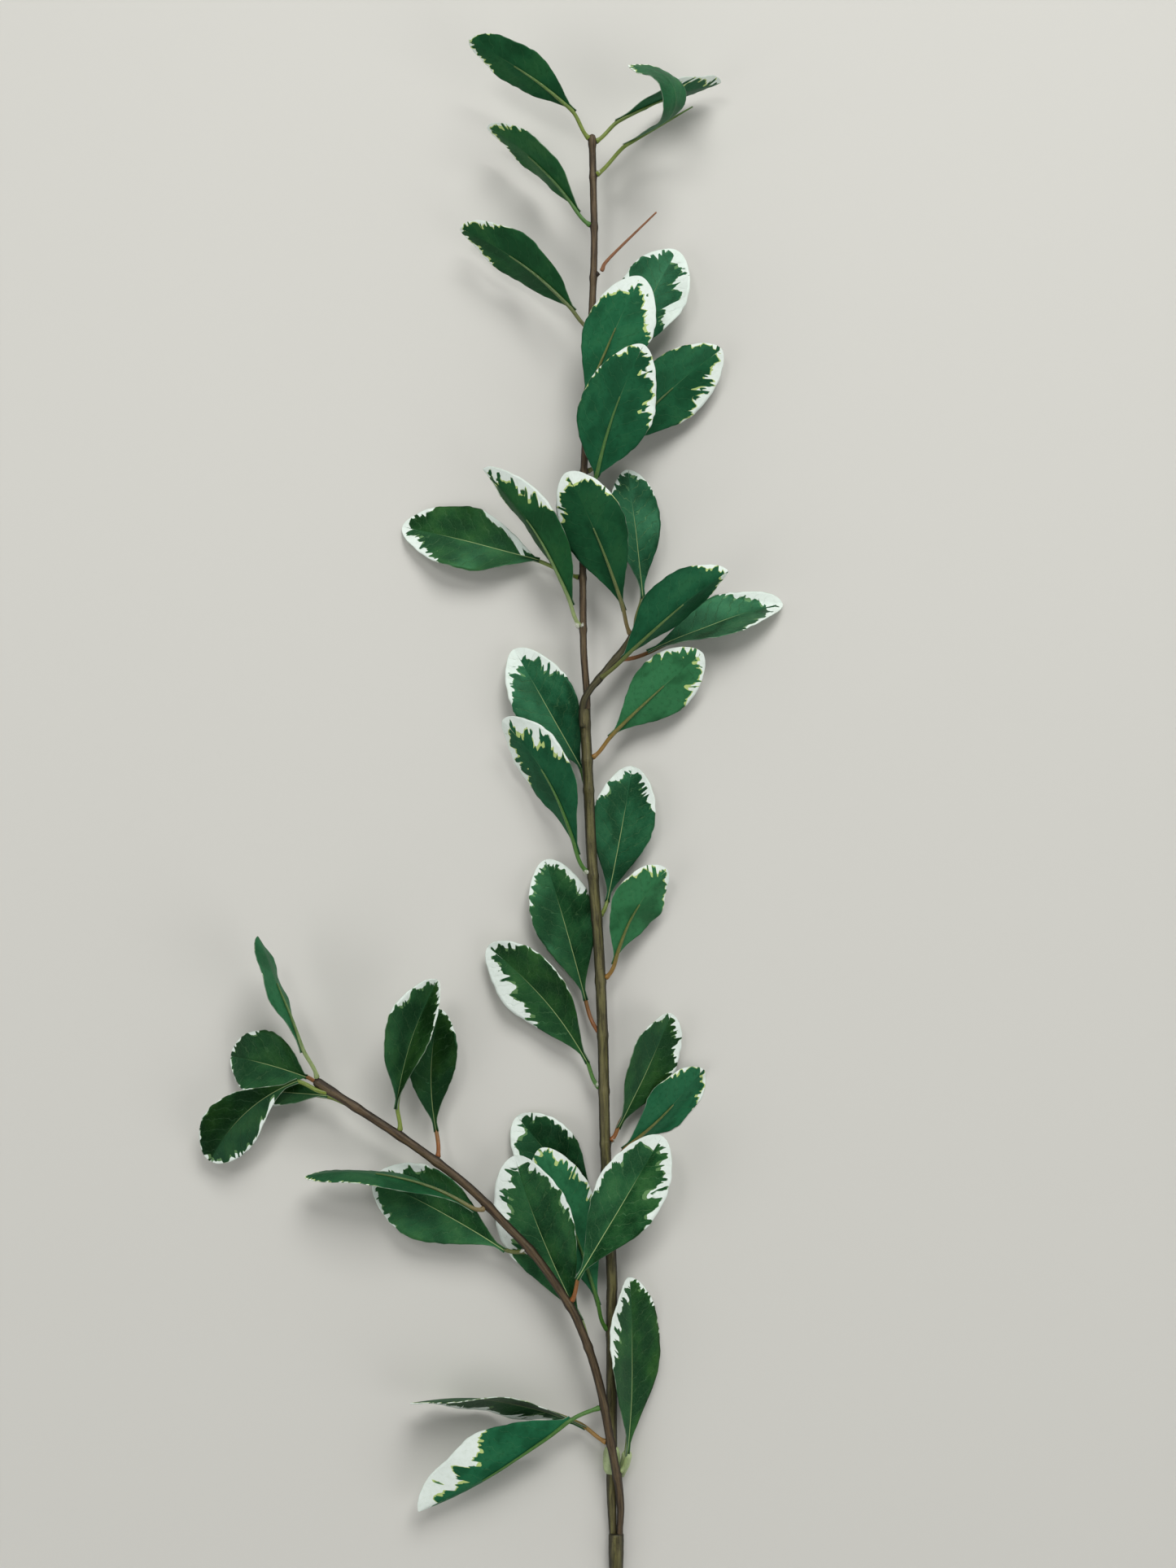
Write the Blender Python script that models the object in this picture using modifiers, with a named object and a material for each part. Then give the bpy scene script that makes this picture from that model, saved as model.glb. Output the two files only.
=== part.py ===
"""Variegated pittosporum spray, lying on a surface.

Coated wire stems are plugged together, and each leaf is a thin printed blade
on a moulded stalk whose rib runs up the back of the blade. All sizes below
are millimetres. +X is right, +Y runs from the cut foot to the top, +Z is up.
The origin is the middle of the flat spot under the foot sleeve.
"""

import math
from typing import NamedTuple

import bmesh
import bpy
from mathutils import Matrix, Vector

MM = 0.001
FIT = 0.3

MAIN_RADIUS = 2.5
UPPER_RADIUS = 1.65
TWIG_RADIUS = 1.65
SIDE_RADIUS = 1.95
STEM_STEP = 9.0
MAIN_FOOT_RADIUS = 1.7
SIDE_FOOT_RADIUS = 1.45
FOOT_TAPER = 48.0

SLEEVE_RADIUS = 3.2
MOUTH_HALF_WIDTH = 3.9
MOUTH_HALF_HEIGHT = 3.7
MOUTH_CENTRE_Z = 4.1
MOUTH_LENGTH = 11.0
SLEEVE_FLAT = 0.5
FOOT_Y = -100.0
MOUTH_Y = 14.0
FORK_HALF_WIDTH = 2.9
FORK_HALF_HEIGHT = 4.3
FORK_FROM_Y = 381.0
FORK_TO_Y = 390.0
FORK_RISE = 0.5
FORK_SOCKET_Y = 382.0
PAST_END = 3.0

NUB_RADIUS = 1.2
NUB_RISE = 1.8
STALK_RADIUS = 0.95
RIB_TIP_RADIUS = 0.4
RIB_SHARE = 0.55
RIB_SINK = 0.35
STALK_SIDES = 1
STALK_STEPS = 3
RIB_STEPS = 4

BLADE = 0.7
BLADE_ROWS = (0.0, 0.14, 0.3, 0.46, 0.6, 0.74, 0.86, 0.95, 1.0)
BLADE_COLUMNS = (-1.0, -0.5, 0.0, 0.5, 1.0)
BLADE_BASE_HALF = 1.3
BLADE_TIP_HALF = 1.6
FLOOR_LIFT = 0.36
SPINE_SAMPLES = 40
CURL_FROM = 0.26
CURL_OVER = 0.62

LEAF_GREEN = (0.02, 0.09, 0.03)
BARK_OLIVE = (0.11, 0.09, 0.04)
BARK_BROWN = (0.09, 0.05, 0.03)
STALK_TAN = (0.35, 0.13, 0.04)


class Leaf(NamedTuple):
    """One leaf: where its stalk plugs in, where its blade starts and ends, and its form."""

    name: str
    stem: str
    at: float
    base: tuple
    tip: tuple
    width: float
    up: str = "back"
    roll: float = 0.0
    bend: float = 10.0
    sweep: float = 0.0
    fold: float = 12.0
    twist: float = 0.0
    curl: float = 0.0
    widest: float = 0.62
    spine: tuple = None


MAIN_ROUTE = (
    (-1.4, 7, 3.5), (-1.6, 14, 3.7), (-2, 26, 4.6), (-2, 50, 5.0), (-2, 79, 5.4), (-2, 116, 6.4),
    (-2, 130, 6.9), (-5, 190, 8.8), (-6, 235, 10.0), (-8, 280, 11.3), (-11, 318, 12.3),
    (-13, 360, 13.4), (-14.5, 387, 14.0),
)
UPPER_ROUTE = (
    (-13.8, 382, 12.4), (-13.4, 389, 12.6), (-13.6, 399, 13.4), (-15, 418, 14.8),
    (-15.3, 441, 15.8), (-15.4, 465, 16.6), (-15, 500, 18.0), (-13, 540, 19.4), (-11, 580, 21.0),
    (-10, 611, 22.4), (-10.4, 636, 23.6), (-11, 662, 25.0),
)
TWIG_ROUTE = (
    (-15.4, 382, 16.4), (-15.5, 389, 16.6), (-14.8, 394, 17.2), (-12, 399, 17.2), (-8, 404, 16.6),
    (-2.5, 411, 15.8), (1, 415, 15.4), (10, 427, 15.2),
)
SIDE_ROUTE = (
    (1.5, 7, 4.6), (1.7, 14, 5.2), (2.2, 23, 6.6), (1, 34, 9.4), (-1, 45, 11.6), (-3, 56, 12.8),
    (-5, 67, 13.4), (-7.5, 79, 14.0), (-11.5, 93, 15.0), (-16.5, 106, 15.8), (-21.5, 116, 16.4),
    (-36, 137, 17.6), (-51, 153, 18.4), (-68, 170, 19.3), (-92, 188, 20.0), (-115, 203, 20.2),
    (-137, 217, 20.2),
)
BARE_STALK = ((-6.4, 598, 23.4), (-2.6, 603.5, 25.0), (19, 623, 31.0))

LEAVES = (
    Leaf(
        "upper_leaf_01", "upper", 660, (-19, 673, 28), (-69, 704, 36), 22, roll=-50, bend=-5,
        sweep=-18,
    ),
    Leaf("upper_leaf_02", "upper", 659, (0, 671, 23), (51, 694, 14), 24, roll=94, bend=-16),
    Leaf(
        "upper_leaf_03", "upper", 643, (4, 658, 27), (6, 687, 47), 21, roll=62, bend=5,
        curl=144, fold=4, spine=(36, 672, 36),
    ),
    Leaf(
        "upper_leaf_04", "upper", 619, (-17, 626, 23), (-61, 669, 20), 23, roll=-70, bend=-20,
        sweep=-20,
    ),
    Leaf(
        "upper_leaf_05", "upper", 570, (-19, 579, 21), (-74, 621, 16), 26, roll=-54, bend=-8,
        sweep=-24,
    ),
    Leaf("upper_leaf_06", "upper", 541, (1, 552, 14), (30, 613, 8), 33, up="front", sweep=8),
    Leaf(
        "upper_leaf_07", "upper", 522, (-15, 530, 27), (12, 593, 29), 34, roll=-12, bend=14,
        sweep=4,
    ),
    Leaf("upper_leaf_08", "upper", 490, (-9, 498, 26), (13, 558, 36), 36, sweep=16, widest=0.5),
    Leaf("upper_leaf_09", "upper", 502, (-4, 511, 15), (51, 564, 10), 32, roll=10, sweep=14),
    Leaf(
        "upper_leaf_10", "upper", 452, (-36, 462, 9), (-102, 480, 0.4), 33, up="front",
        roll=12, widest=0.55,
    ),
    Leaf(
        "upper_leaf_11", "upper", 428, (-20, 439, 17), (-62, 502, 25), 30, roll=-62, bend=-14,
        sweep=-26,
    ),
    Leaf("twig_leaf_1", "twig", 424, (4, 436, 19), (-23, 498, 35), 31, roll=-8, sweep=-12),
    Leaf("twig_leaf_2", "twig", 430, (13, 443, 13), (6, 506, 7), 25, up="front", roll=14),
    Leaf(
        "twig_leaf_3", "twig", 404, (3, 413, 22), (52, 453, 29), 34, roll=28, fold=44,
        bend=16, sweep=22, widest=0.56,
    ),
    Leaf(
        "twig_leaf_4", "twig", 414, (15, 418, 10), (80, 443, 0.3), 28, up="front", roll=-36,
        fold=20, sweep=6,
    ),
    Leaf("main_leaf_01", "main", 366, (-3, 377, 13), (41, 417, 13), 29, roll=12, sweep=8),
    Leaf("main_leaf_02", "main", 352, (-16, 363, 7), (-48, 420, 5), 31, up="front", widest=0.56),
    Leaf(
        "main_leaf_03", "main", 312, (-17.5, 322, 13), (-53, 385, 14), 31, roll=-44, bend=0,
        sweep=-42,
    ),
    Leaf("main_leaf_04", "main", 292, (-4, 300, 6), (8, 364, 6), 30, up="front", sweep=-3),
    Leaf("main_leaf_05", "main", 263, (-1, 271, 12), (24, 315, 14), 27, roll=30, sweep=44),
    Leaf("main_leaf_06", "main", 238, (-14, 254, 6), (-33, 320, 4), 30, up="front", sweep=-3),
    Leaf(
        "main_leaf_07", "main", 212, (-13, 225, 8), (-60, 279, 6), 31, up="front", roll=-18,
        sweep=-30,
    ),
    Leaf("main_leaf_08", "main", 188, (1, 195, 9), (26, 248, 9), 26, up="front", roll=28),
    Leaf("main_leaf_09", "main", 175, (3, 185, 5), (41, 222, 4), 26, roll=34, sweep=-10),
    Leaf("main_leaf_10", "main", 150, (-8, 159, 4), (-46, 200, 2), 30, up="front", sweep=8),
    Leaf("main_leaf_11", "main", 101, (-8, 114, 8), (-35, 186, 9.5), 29, roll=6, sweep=-8),
    Leaf(
        "side_leaf_01", "side", 97, (-16, 108, 11), (-47, 183, 12.5), 37, up="front", roll=-14,
        sweep=10,
    ),
    Leaf("side_leaf_02", "side", 116, (-18, 128, 19), (21, 193, 22), 32, up="front"),
    Leaf("side_leaf_03", "side", 38, (5, 47, 10), (6, 127, 8), 30, up="front", roll=38, sweep=-6),
    Leaf(
        "side_leaf_04", "side", 70, (-21, 66, 18), (-90, 23, 13), 41, roll=-40, fold=44,
        bend=20, widest=0.58,
    ),
    Leaf(
        "side_leaf_05", "side", 53, (-14, 59, 9), (-94, 72, 16), 28, up="front", roll=-50,
        bend=-30, sweep=-20, twist=-60,
    ),
    Leaf("side_leaf_06", "side", 141, (-51, 140, 14), (-113, 171, 3), 34, up="front", sweep=-12),
    Leaf("side_leaf_07", "side", 161, (-65, 159, 22), (-143, 174, 17), 22, roll=78, bend=46),
    Leaf(
        "side_leaf_08", "side", 193, (-101, 205, 20), (-82, 264, 24), 28, up="front", fold=32,
        sweep=20,
    ),
    Leaf("side_leaf_09", "side", 181, (-83, 194, 13), (-82, 250, 8), 24, up="front", sweep=26),
    Leaf("side_leaf_10", "side", 217, (-144, 231, 23), (-164, 284, 30), 20, roll=76, bend=4),
    Leaf(
        "side_leaf_11", "side", 216, (-143, 219, 13), (-180, 228, 4), 31, up="front", bend=40,
        sweep=-14, widest=0.54,
    ),
    Leaf("side_leaf_12", "side", 213, (-147, 214, 22), (-195, 188, 8), 28, up="front", sweep=6),
    Leaf("side_leaf_13", "side", 206, (-134, 210, 9), (-172, 212, 2), 16, up="front", roll=30),
)


def spline(route):
    """Points of a smooth curve through the route's own points, close together."""
    points = [Vector(p) for p in route]
    ends = [points[0] * 2 - points[1]] + points + [points[-1] * 2 - points[-2]]
    out = []
    for a, b, c, d in zip(ends, ends[1:], ends[2:], ends[3:]):
        for i in range(12):
            t = i / 12
            out.append(
                0.5 * (2 * b + (c - a) * t + (2 * a - 5 * b + 4 * c - d) * t * t
                       + (3 * b - a - 3 * c + d) * t ** 3)
            )
    return out + [points[-1]]


def spaced(points, step):
    """The curve's points thinned to about one every step."""
    kept, run = [points[0]], 0.0
    for a, b in zip(points, points[1:]):
        run += (b - a).length
        if run >= step:
            kept.append(b)
            run = 0.0
    if (kept[-1] - points[-1]).length < step * 0.4 and len(kept) > 2:
        kept.pop()
    return kept + [points[-1]]


def place_on(stem, at):
    """Centre point and direction of a stem at a distance up the spray."""
    points = CURVES[stem]
    for a, b in zip(points, points[1:]):
        if a.y <= at <= b.y:
            share = (at - a.y) / max(b.y - a.y, 1e-6)
            return a.lerp(b, share), (b - a).normalized()
    return points[-1].copy(), (points[-1] - points[-2]).normalized()


CURVES = {
    "main": spline(MAIN_ROUTE),
    "upper": spline(UPPER_ROUTE),
    "twig": spline(TWIG_ROUTE),
    "side": spline(SIDE_ROUTE),
}
RADII = {"main": MAIN_RADIUS, "upper": UPPER_RADIUS, "twig": TWIG_RADIUS, "side": SIDE_RADIUS}
FOOT_RADII = {"main": MAIN_FOOT_RADIUS, "side": SIDE_FOOT_RADIUS}


def radius_at(stem, at):
    """A stem's radius at a distance up the spray: the two long ones thin into the sleeve."""
    full = RADII[stem]
    thin = FOOT_RADII.get(stem, full)
    share = min(max((at - MOUTH_Y) / FOOT_TAPER, 0.0), 1.0)
    return thin + (full - thin) * share


def half_width(leaf, s):
    """Half the blade's width at a share s of its length: widest past the middle, round tip."""
    power = math.log(0.5) / math.log(leaf.widest)
    swell = max(math.sin(math.pi * min(s, 1.0) ** power), 0.0) ** (1.05 - 0.5 * s)
    end = BLADE_BASE_HALF * (1 - s) ** 2 + BLADE_TIP_HALF * s ** 8
    return max(leaf.width / 2 * swell, end)


class Form:
    """The blade's curved middle line and the frame that its width lies in."""

    def __init__(self, leaf):
        self.leaf = leaf
        base, tip = Vector(leaf.base), Vector(leaf.tip)
        along = (tip - base).normalized()
        level = (Vector((0, 0, 1)) - along * along.z).normalized()
        right = along.cross(level)
        lean = math.radians(leaf.roll)
        self.normal = level * math.cos(lean) + right * math.sin(lean)
        left = self.normal.cross(along)
        raw, point = [Vector((0, 0, 0))], Vector((0, 0, 0))
        for i in range(SPINE_SAMPLES):
            s = (i + 0.5) / SPINE_SAMPLES
            turn = min(max((s - CURL_FROM) / CURL_OVER, 0.0), 1.0)
            turn = turn * turn * (3 - 2 * turn)
            pitch = math.radians(leaf.bend * (0.5 - s) - leaf.curl * turn)
            yaw = math.radians(leaf.sweep * (0.5 - s))
            point = point + Vector(
                (math.cos(pitch) * math.cos(yaw), math.cos(pitch) * math.sin(yaw), math.sin(pitch))
            )
            raw.append(point)
        chord = raw[-1]
        straighten = chord.rotation_difference(Vector((1, 0, 0)))
        scale = (tip - base).length / chord.length
        local = [straighten @ p * scale for p in raw]
        self.line = [base + along * p.x + left * p.y + self.normal * p.z for p in local]

    def centre(self, s):
        """Point and direction of the middle line at share s."""
        place = min(max(s, 0.0), 1.0) * SPINE_SAMPLES
        i = min(int(place), SPINE_SAMPLES - 1)
        before, after = max(i - 1, 0), min(i + 2, SPINE_SAMPLES)
        tangent = (self.line[after] - self.line[before]).normalized()
        return self.line[i].lerp(self.line[i + 1], place - i), tangent

    def frame(self, s):
        """Point, direction, right side and upper side of the blade at share s."""
        point, tangent = self.centre(s)
        upper = (self.normal - tangent * self.normal.dot(tangent)).normalized()
        upper = Matrix.Rotation(math.radians(self.leaf.twist * (s - 0.5)), 3, tangent) @ upper
        return point, tangent, tangent.cross(upper), upper

    def surface(self, s, t):
        """Point of the blade's middle sheet; t runs from its left edge to its right edge."""
        point, _, right, upper = self.frame(s)
        half = half_width(self.leaf, s)
        lift = half * (math.sqrt(t * t + 0.04) - 0.2) * math.sin(math.radians(self.leaf.fold))
        lift = lift if self.leaf.up == "front" else -lift
        place = point + right * (half * t * math.cos(math.radians(self.leaf.fold))) + upper * lift
        place.z = max(place.z, FLOOR_LIFT)
        return place


def root_of(leaf):
    """Where the stalk starts: the end of its nub, and the way the nub points."""
    centre, tangent = place_on(leaf.stem, leaf.at)
    to_base = (Vector(leaf.base) - centre).normalized()
    outward = to_base - tangent * to_base.dot(tangent)
    heading = (to_base + outward.normalized() * 0.5).normalized()
    return centre, heading


def stalk_line(leaf, form):
    """The stalk's path from its nub to the blade, then up the blade's back as its rib."""
    centre, heading = root_of(leaf)
    start = centre + heading * (radius_at(leaf.stem, leaf.at) + NUB_RISE + FIT)
    under = -1 if leaf.up == "front" else 1
    base, tangent, _, upper = form.frame(0.04)
    base = base + upper * (under * RIB_SINK)
    reach = (base - start).length
    points, radii = [], []
    for i in range(STALK_STEPS):
        t = i / STALK_STEPS
        a = 2 * t ** 3 - 3 * t * t + 1
        b = t ** 3 - 2 * t * t + t
        c = 3 * t * t - 2 * t ** 3
        d = t ** 3 - t * t
        points.append(start * a + heading * (reach * b) + base * c + tangent * (reach * d))
        radii.append(STALK_RADIUS)
    for i in range(RIB_STEPS + 1):
        share = i / RIB_STEPS
        s = 0.04 + RIB_SHARE * share
        if leaf.spine:
            point = base.lerp(Vector(leaf.spine), share)
        else:
            middle, _, _, upper = form.frame(s)
            point = middle + upper * (under * RIB_SINK)
        points.append(point)
        radii.append(STALK_RADIUS + (RIB_TIP_RADIUS - STALK_RADIUS) * share)
    for point in points:
        point.z = max(point.z, FLOOR_LIFT)
    return points, radii


def material(name, colour, roughness):
    finish = bpy.data.materials.new(name)
    finish.use_nodes = True
    shader = finish.node_tree.nodes["Principled BSDF"]
    shader.inputs["Base Color"].default_value = (*colour, 1)
    shader.inputs["Roughness"].default_value = roughness
    shader.inputs["Metallic"].default_value = 0.0
    return finish


def add_object(name, mesh):
    obj = bpy.data.objects.new(name, mesh)
    PARTS.objects.link(obj)
    return obj


def settled(obj):
    """The object as evaluated, kept as a plain mesh object."""
    graph = bpy.context.evaluated_depsgraph_get()
    mesh = bpy.data.meshes.new_from_object(obj.evaluated_get(graph))
    plain = add_object(obj.name, mesh)
    plain.matrix_world = obj.matrix_world
    name = obj.name
    bpy.data.objects.remove(obj)
    plain.name = name
    return plain


def tube(name, points, radii, resolution):
    """A closed round tube along the points, given in millimetres."""
    curve = bpy.data.curves.new(name, "CURVE")
    curve.dimensions = "3D"
    curve.bevel_depth = MM
    curve.bevel_resolution = resolution
    curve.use_fill_caps = True
    line = curve.splines.new("POLY")
    line.points.add(len(points) - 1)
    for knot, point, radius in zip(line.points, points, radii):
        knot.co = (*(point * MM), 1)
        knot.radius = radius
    obj = settled(add_object(name, curve))
    body = bmesh.new()
    body.from_mesh(obj.data)
    bmesh.ops.remove_doubles(body, verts=body.verts, dist=0.00001)
    bmesh.ops.recalc_face_normals(body, faces=body.faces)
    body.to_mesh(obj.data)
    body.free()
    return obj


def peg(name, start, heading, length, radius, sides=8):
    """A straight round peg from start along heading."""
    body = bmesh.new()
    turn = heading.to_track_quat("Z", "Y").to_matrix().to_4x4()
    place = Matrix.Translation((start + heading * (length / 2)) * MM) @ turn
    bmesh.ops.create_cone(
        body, cap_ends=True, segments=sides, radius1=radius * MM, radius2=radius * 0.9 * MM,
        depth=length * MM, matrix=place,
    )
    mesh = bpy.data.meshes.new(name)
    body.to_mesh(mesh)
    body.free()
    return add_object(name, mesh)


def combine(obj, others, operation):
    """Join or cut the object with the others, which are then removed."""
    if not others:
        return obj
    tools = bpy.data.collections.new(obj.name + "_tools")
    HELPERS.children.link(tools)
    for other in others:
        PARTS.objects.unlink(other)
        tools.objects.link(other)
        other.hide_render = True
        other.display_type = "WIRE"
    change = obj.modifiers.new(operation.title(), "BOOLEAN")
    change.operation = operation
    change.operand_type = "COLLECTION"
    change.collection = tools
    change.solver = "EXACT"
    bpy.context.view_layer.update()
    obj = settled(obj)
    for other in list(tools.objects):
        bpy.data.objects.remove(other)
    bpy.data.collections.remove(tools)
    return obj


def finish(obj, colour, roughness):
    obj.data.materials.clear()
    obj.data.materials.append(material(obj.name, colour, roughness))
    obj.data.shade_smooth()
    obj.data.set_sharp_from_angle(angle=math.radians(40))


def nubs(stem):
    """The pegs that one stem's leaf stalks plug on."""
    found = []
    for leaf in LEAVES:
        if leaf.stem == stem:
            centre, heading = root_of(leaf)
            reach = radius_at(stem, leaf.at) + NUB_RISE
            found.append(peg(leaf.name + "_nub", centre, heading, reach, NUB_RADIUS))
    return found


def make_stem(name, stem, colour, extras=()):
    points = spaced(CURVES[stem], STEM_STEP)
    body = tube(name, points, [radius_at(stem, p.y) for p in points], 2)
    body = combine(body, nubs(stem) + list(extras), "UNION")
    finish(body, colour, 0.55)
    return body


def oval_block(name, half_x, half_z, centre, y_from, y_to, flat=0.0):
    """An oval rod along +Y, with a flat cut along its underside where flat is above 0."""
    body = bmesh.new()
    bmesh.ops.create_cone(
        body, cap_ends=True, segments=16, radius1=1.0, radius2=1.0, depth=1.0,
        matrix=Matrix.Rotation(math.radians(-90), 4, "X"),
    )
    for vert in body.verts:
        x, y, z = vert.co
        low = -half_z + flat
        vert.co = (
            (centre[0] + x * half_x) * MM,
            (y_from + (y + 0.5) * (y_to - y_from)) * MM,
            (centre[1] + max(z * half_z, low)) * MM,
        )
    mesh = bpy.data.meshes.new(name)
    body.to_mesh(mesh)
    body.free()
    return add_object(name, mesh)


def socket(stem, y_from, y_to):
    """The cutter for one stem's plug hole, a fit wider than the stem."""
    start, _ = place_on(stem, y_from)
    end, _ = place_on(stem, y_to)
    heading = (end - start).normalized()
    start = start - heading * FIT
    return tube(stem + "_socket", [start, end], [radius_at(stem, y_from) + FIT] * 2, 2)


def make_sleeve():
    """The foot: a plain round rod with a flat underside and a mouth for the two stems."""
    middle = (0, SLEEVE_RADIUS - SLEEVE_FLAT)
    rod = oval_block(
        "stem_base", SLEEVE_RADIUS, SLEEVE_RADIUS, middle, FOOT_Y, MOUTH_Y, SLEEVE_FLAT
    )
    mouth = oval_block(
        "mouth", MOUTH_HALF_WIDTH, MOUTH_HALF_HEIGHT, (0, MOUTH_CENTRE_Z),
        MOUTH_Y - MOUTH_LENGTH, MOUTH_Y + FIT * 2,
    )
    rod = combine(rod, [mouth], "UNION")
    foot_y = MAIN_ROUTE[0][1]
    holes = [socket(stem, foot_y, MOUTH_Y + PAST_END) for stem in ("main", "side")]
    rod = combine(rod, holes, "DIFFERENCE")
    finish(rod, BARK_OLIVE, 0.6)


def make_leaf(leaf):
    form = Form(leaf)
    body = bmesh.new()
    grid = [
        [body.verts.new(form.surface(s, t) * MM) for t in BLADE_COLUMNS] for s in BLADE_ROWS
    ]
    for near, far in zip(grid, grid[1:]):
        for i in range(len(BLADE_COLUMNS) - 1):
            body.faces.new((near[i], near[i + 1], far[i + 1]))
            body.faces.new((near[i], far[i + 1], far[i]))
    mesh = bpy.data.meshes.new(leaf.name)
    body.to_mesh(mesh)
    body.free()
    blade = add_object(leaf.name, mesh)
    wall = blade.modifiers.new("Thickness", "SOLIDIFY")
    wall.thickness = BLADE * MM
    wall.offset = 0.0
    blade = settled(blade)
    points, radii = stalk_line(leaf, form)
    stalk = tube(leaf.name + "_stalk", points, radii, STALK_SIDES)
    blade = combine(blade, [stalk], "UNION")
    finish(blade, LEAF_GREEN, 0.4)


def make_bare_stalk():
    """The stalk whose blade is missing, and the nub that it plugs on."""
    points = [Vector(p) for p in BARE_STALK]
    centre, _ = place_on("upper", 595)
    heading = (points[0] - centre).normalized()
    nub_end = centre + heading * (UPPER_RADIUS + NUB_RISE)
    points[0] = nub_end + heading * FIT
    body = tube("bare_stalk", points, [STALK_RADIUS, STALK_RADIUS * 0.9, RIB_TIP_RADIUS], 1)
    finish(body, STALK_TAN, 0.5)
    return peg("bare_nub", centre, heading, UPPER_RADIUS + NUB_RISE, NUB_RADIUS)


def make_fork():
    """The wider end of the main stem, which the upper stem and the twig plug into."""
    end = CURVES["main"][-1]
    middle = (end.x, end.z + FORK_RISE)
    return oval_block(
        "fork", FORK_HALF_WIDTH, FORK_HALF_HEIGHT, middle, FORK_FROM_Y, FORK_TO_Y
    )


for old in list(bpy.data.objects):
    bpy.data.objects.remove(old)
PARTS = bpy.data.collections.new("pittosporum_spray")
HELPERS = bpy.data.collections.new("helpers")
bpy.context.scene.collection.children.link(PARTS)
bpy.context.scene.collection.children.link(HELPERS)

make_sleeve()
main = make_stem("main_stem", "main", BARK_OLIVE, [make_fork()])
plugs = [socket(stem, FORK_SOCKET_Y, FORK_TO_Y + PAST_END) for stem in ("upper", "twig")]
main = combine(main, plugs, "DIFFERENCE")
finish(main, BARK_OLIVE, 0.55)
make_stem("upper_stem", "upper", BARK_BROWN, [make_bare_stalk()])
make_stem("twig", "twig", BARK_OLIVE)
make_stem("side_branch", "side", BARK_BROWN)
for leaf in LEAVES:
    make_leaf(leaf)
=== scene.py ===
"""Looks of a long variegated pittosporum spray that lies on a surface.

Coated wire stems are plugged together. Each leaf is a thin printed blade on a
moulded stalk, whose rib runs up the back of the blade. The tables of the spray
hold millimetres in the frame's own axes: +X is right, +Y runs from the cut foot
to the top leaves, and +Z is up from the surface.
"""

import math
import random
from typing import NamedTuple

import bpy
import numpy as np
from bpy.props import EnumProperty, FloatProperty, FloatVectorProperty, IntProperty, PointerProperty
from mathutils import Matrix, Vector


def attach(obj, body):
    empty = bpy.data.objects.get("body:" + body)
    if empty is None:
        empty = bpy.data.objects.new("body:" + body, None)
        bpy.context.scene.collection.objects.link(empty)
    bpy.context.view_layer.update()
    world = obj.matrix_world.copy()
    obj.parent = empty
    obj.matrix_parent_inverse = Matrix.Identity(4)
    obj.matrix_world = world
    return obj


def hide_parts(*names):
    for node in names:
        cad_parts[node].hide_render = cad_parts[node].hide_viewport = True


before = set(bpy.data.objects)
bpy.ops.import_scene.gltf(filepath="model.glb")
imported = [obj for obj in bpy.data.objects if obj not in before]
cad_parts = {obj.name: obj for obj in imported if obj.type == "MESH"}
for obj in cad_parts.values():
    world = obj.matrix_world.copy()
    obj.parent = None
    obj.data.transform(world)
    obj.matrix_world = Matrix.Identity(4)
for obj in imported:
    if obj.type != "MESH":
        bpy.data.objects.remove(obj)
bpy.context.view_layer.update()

bl_info = {
    "name": "Variegated pittosporum spray",
    "version": (1, 0, 0),
    "blender": (4, 5, 0),
    "location": "3D View > Sidebar > Spray",
    "description": "Builds a long leafy spray with its stems, stalks, printed leaves and stage",
    "category": "Object",
}

# Stems, in millimetres

MM = 0.001
CURVE_STEPS = 12
RADII = {"main": 2.5, "upper": 1.65, "twig": 1.65, "side": 1.95}
FOOT_RADII = {"main": 1.7, "side": 1.45}
FOOT_TAPER = 24.0
MOUTH_Y = 10.0
FOOT_Y = -100.0
SLEEVE_RADIUS = 3.2
SLEEVE_CENTRE_Z = 2.7
MOUTH_RADIUS = 3.5
MOUTH_CENTRE_Z = 4.1
MOUTH_LENGTH = 16.0
MOUTH_SWELL = 9.0
MOUTH_LIP = ((0.5, 0.94), (0.8, 0.82))
SLEEVE_STEPS = 150
FORK_TALL = 1.55
FORK_RADIUS = 2.8
FORK_END_Y = 390.0
FORK_LENGTH = 10.0
FORK_SWELL = 3.0
FORK_STEPS = (1.0, 2.0, 3.0)
NUB_RADIUS = 1.2
NUB_RISE = 1.8
NUB_SIDES = 14
NUB_TAPER = 0.86
STEM_STEP = 0.8
STEM_GRAIN = 420.0
STEM_DIM = {"main": 0.0, "upper": 0.12, "twig": 0.6, "side": 0.25}
KNOT_RISE = 0.32
KNOT_REACH = 1.7
KNOT_LIMIT = 1.2

# Stalks and blades, in millimetres

STALK_RADIUS = 0.95
RIB_TIP_RADIUS = 0.35
RIB_SHARE = 0.55
RIB_STAND = 0.7
RIB_CLEAR = 0.2
STALK_FROM = 0.04
STALK_FLARE = 0.42
STALK_FLARE_REACH = 1.3
STALK_STEPS = 14
RIB_STEPS = 16
FADE_AT_BASE = 0.35

FLOOR_LIFT = 0.3
FULL_TURN = 6.28
SPINE_SAMPLES = 80
CURL_FROM = 0.26
CURL_OVER = 0.62
BLADE_ROWS = 46
BLADE_COLUMNS = 22
ROW_EASE = 1.7
BLADE_BASE_HALF = 1.3
BLADE_TIP_HALF = 0.12
OUTLINE_SAMPLES = 160
VEIN_LEAN = 0.85
VEIN_GAP = 6.2

# Drops of glue

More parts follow.
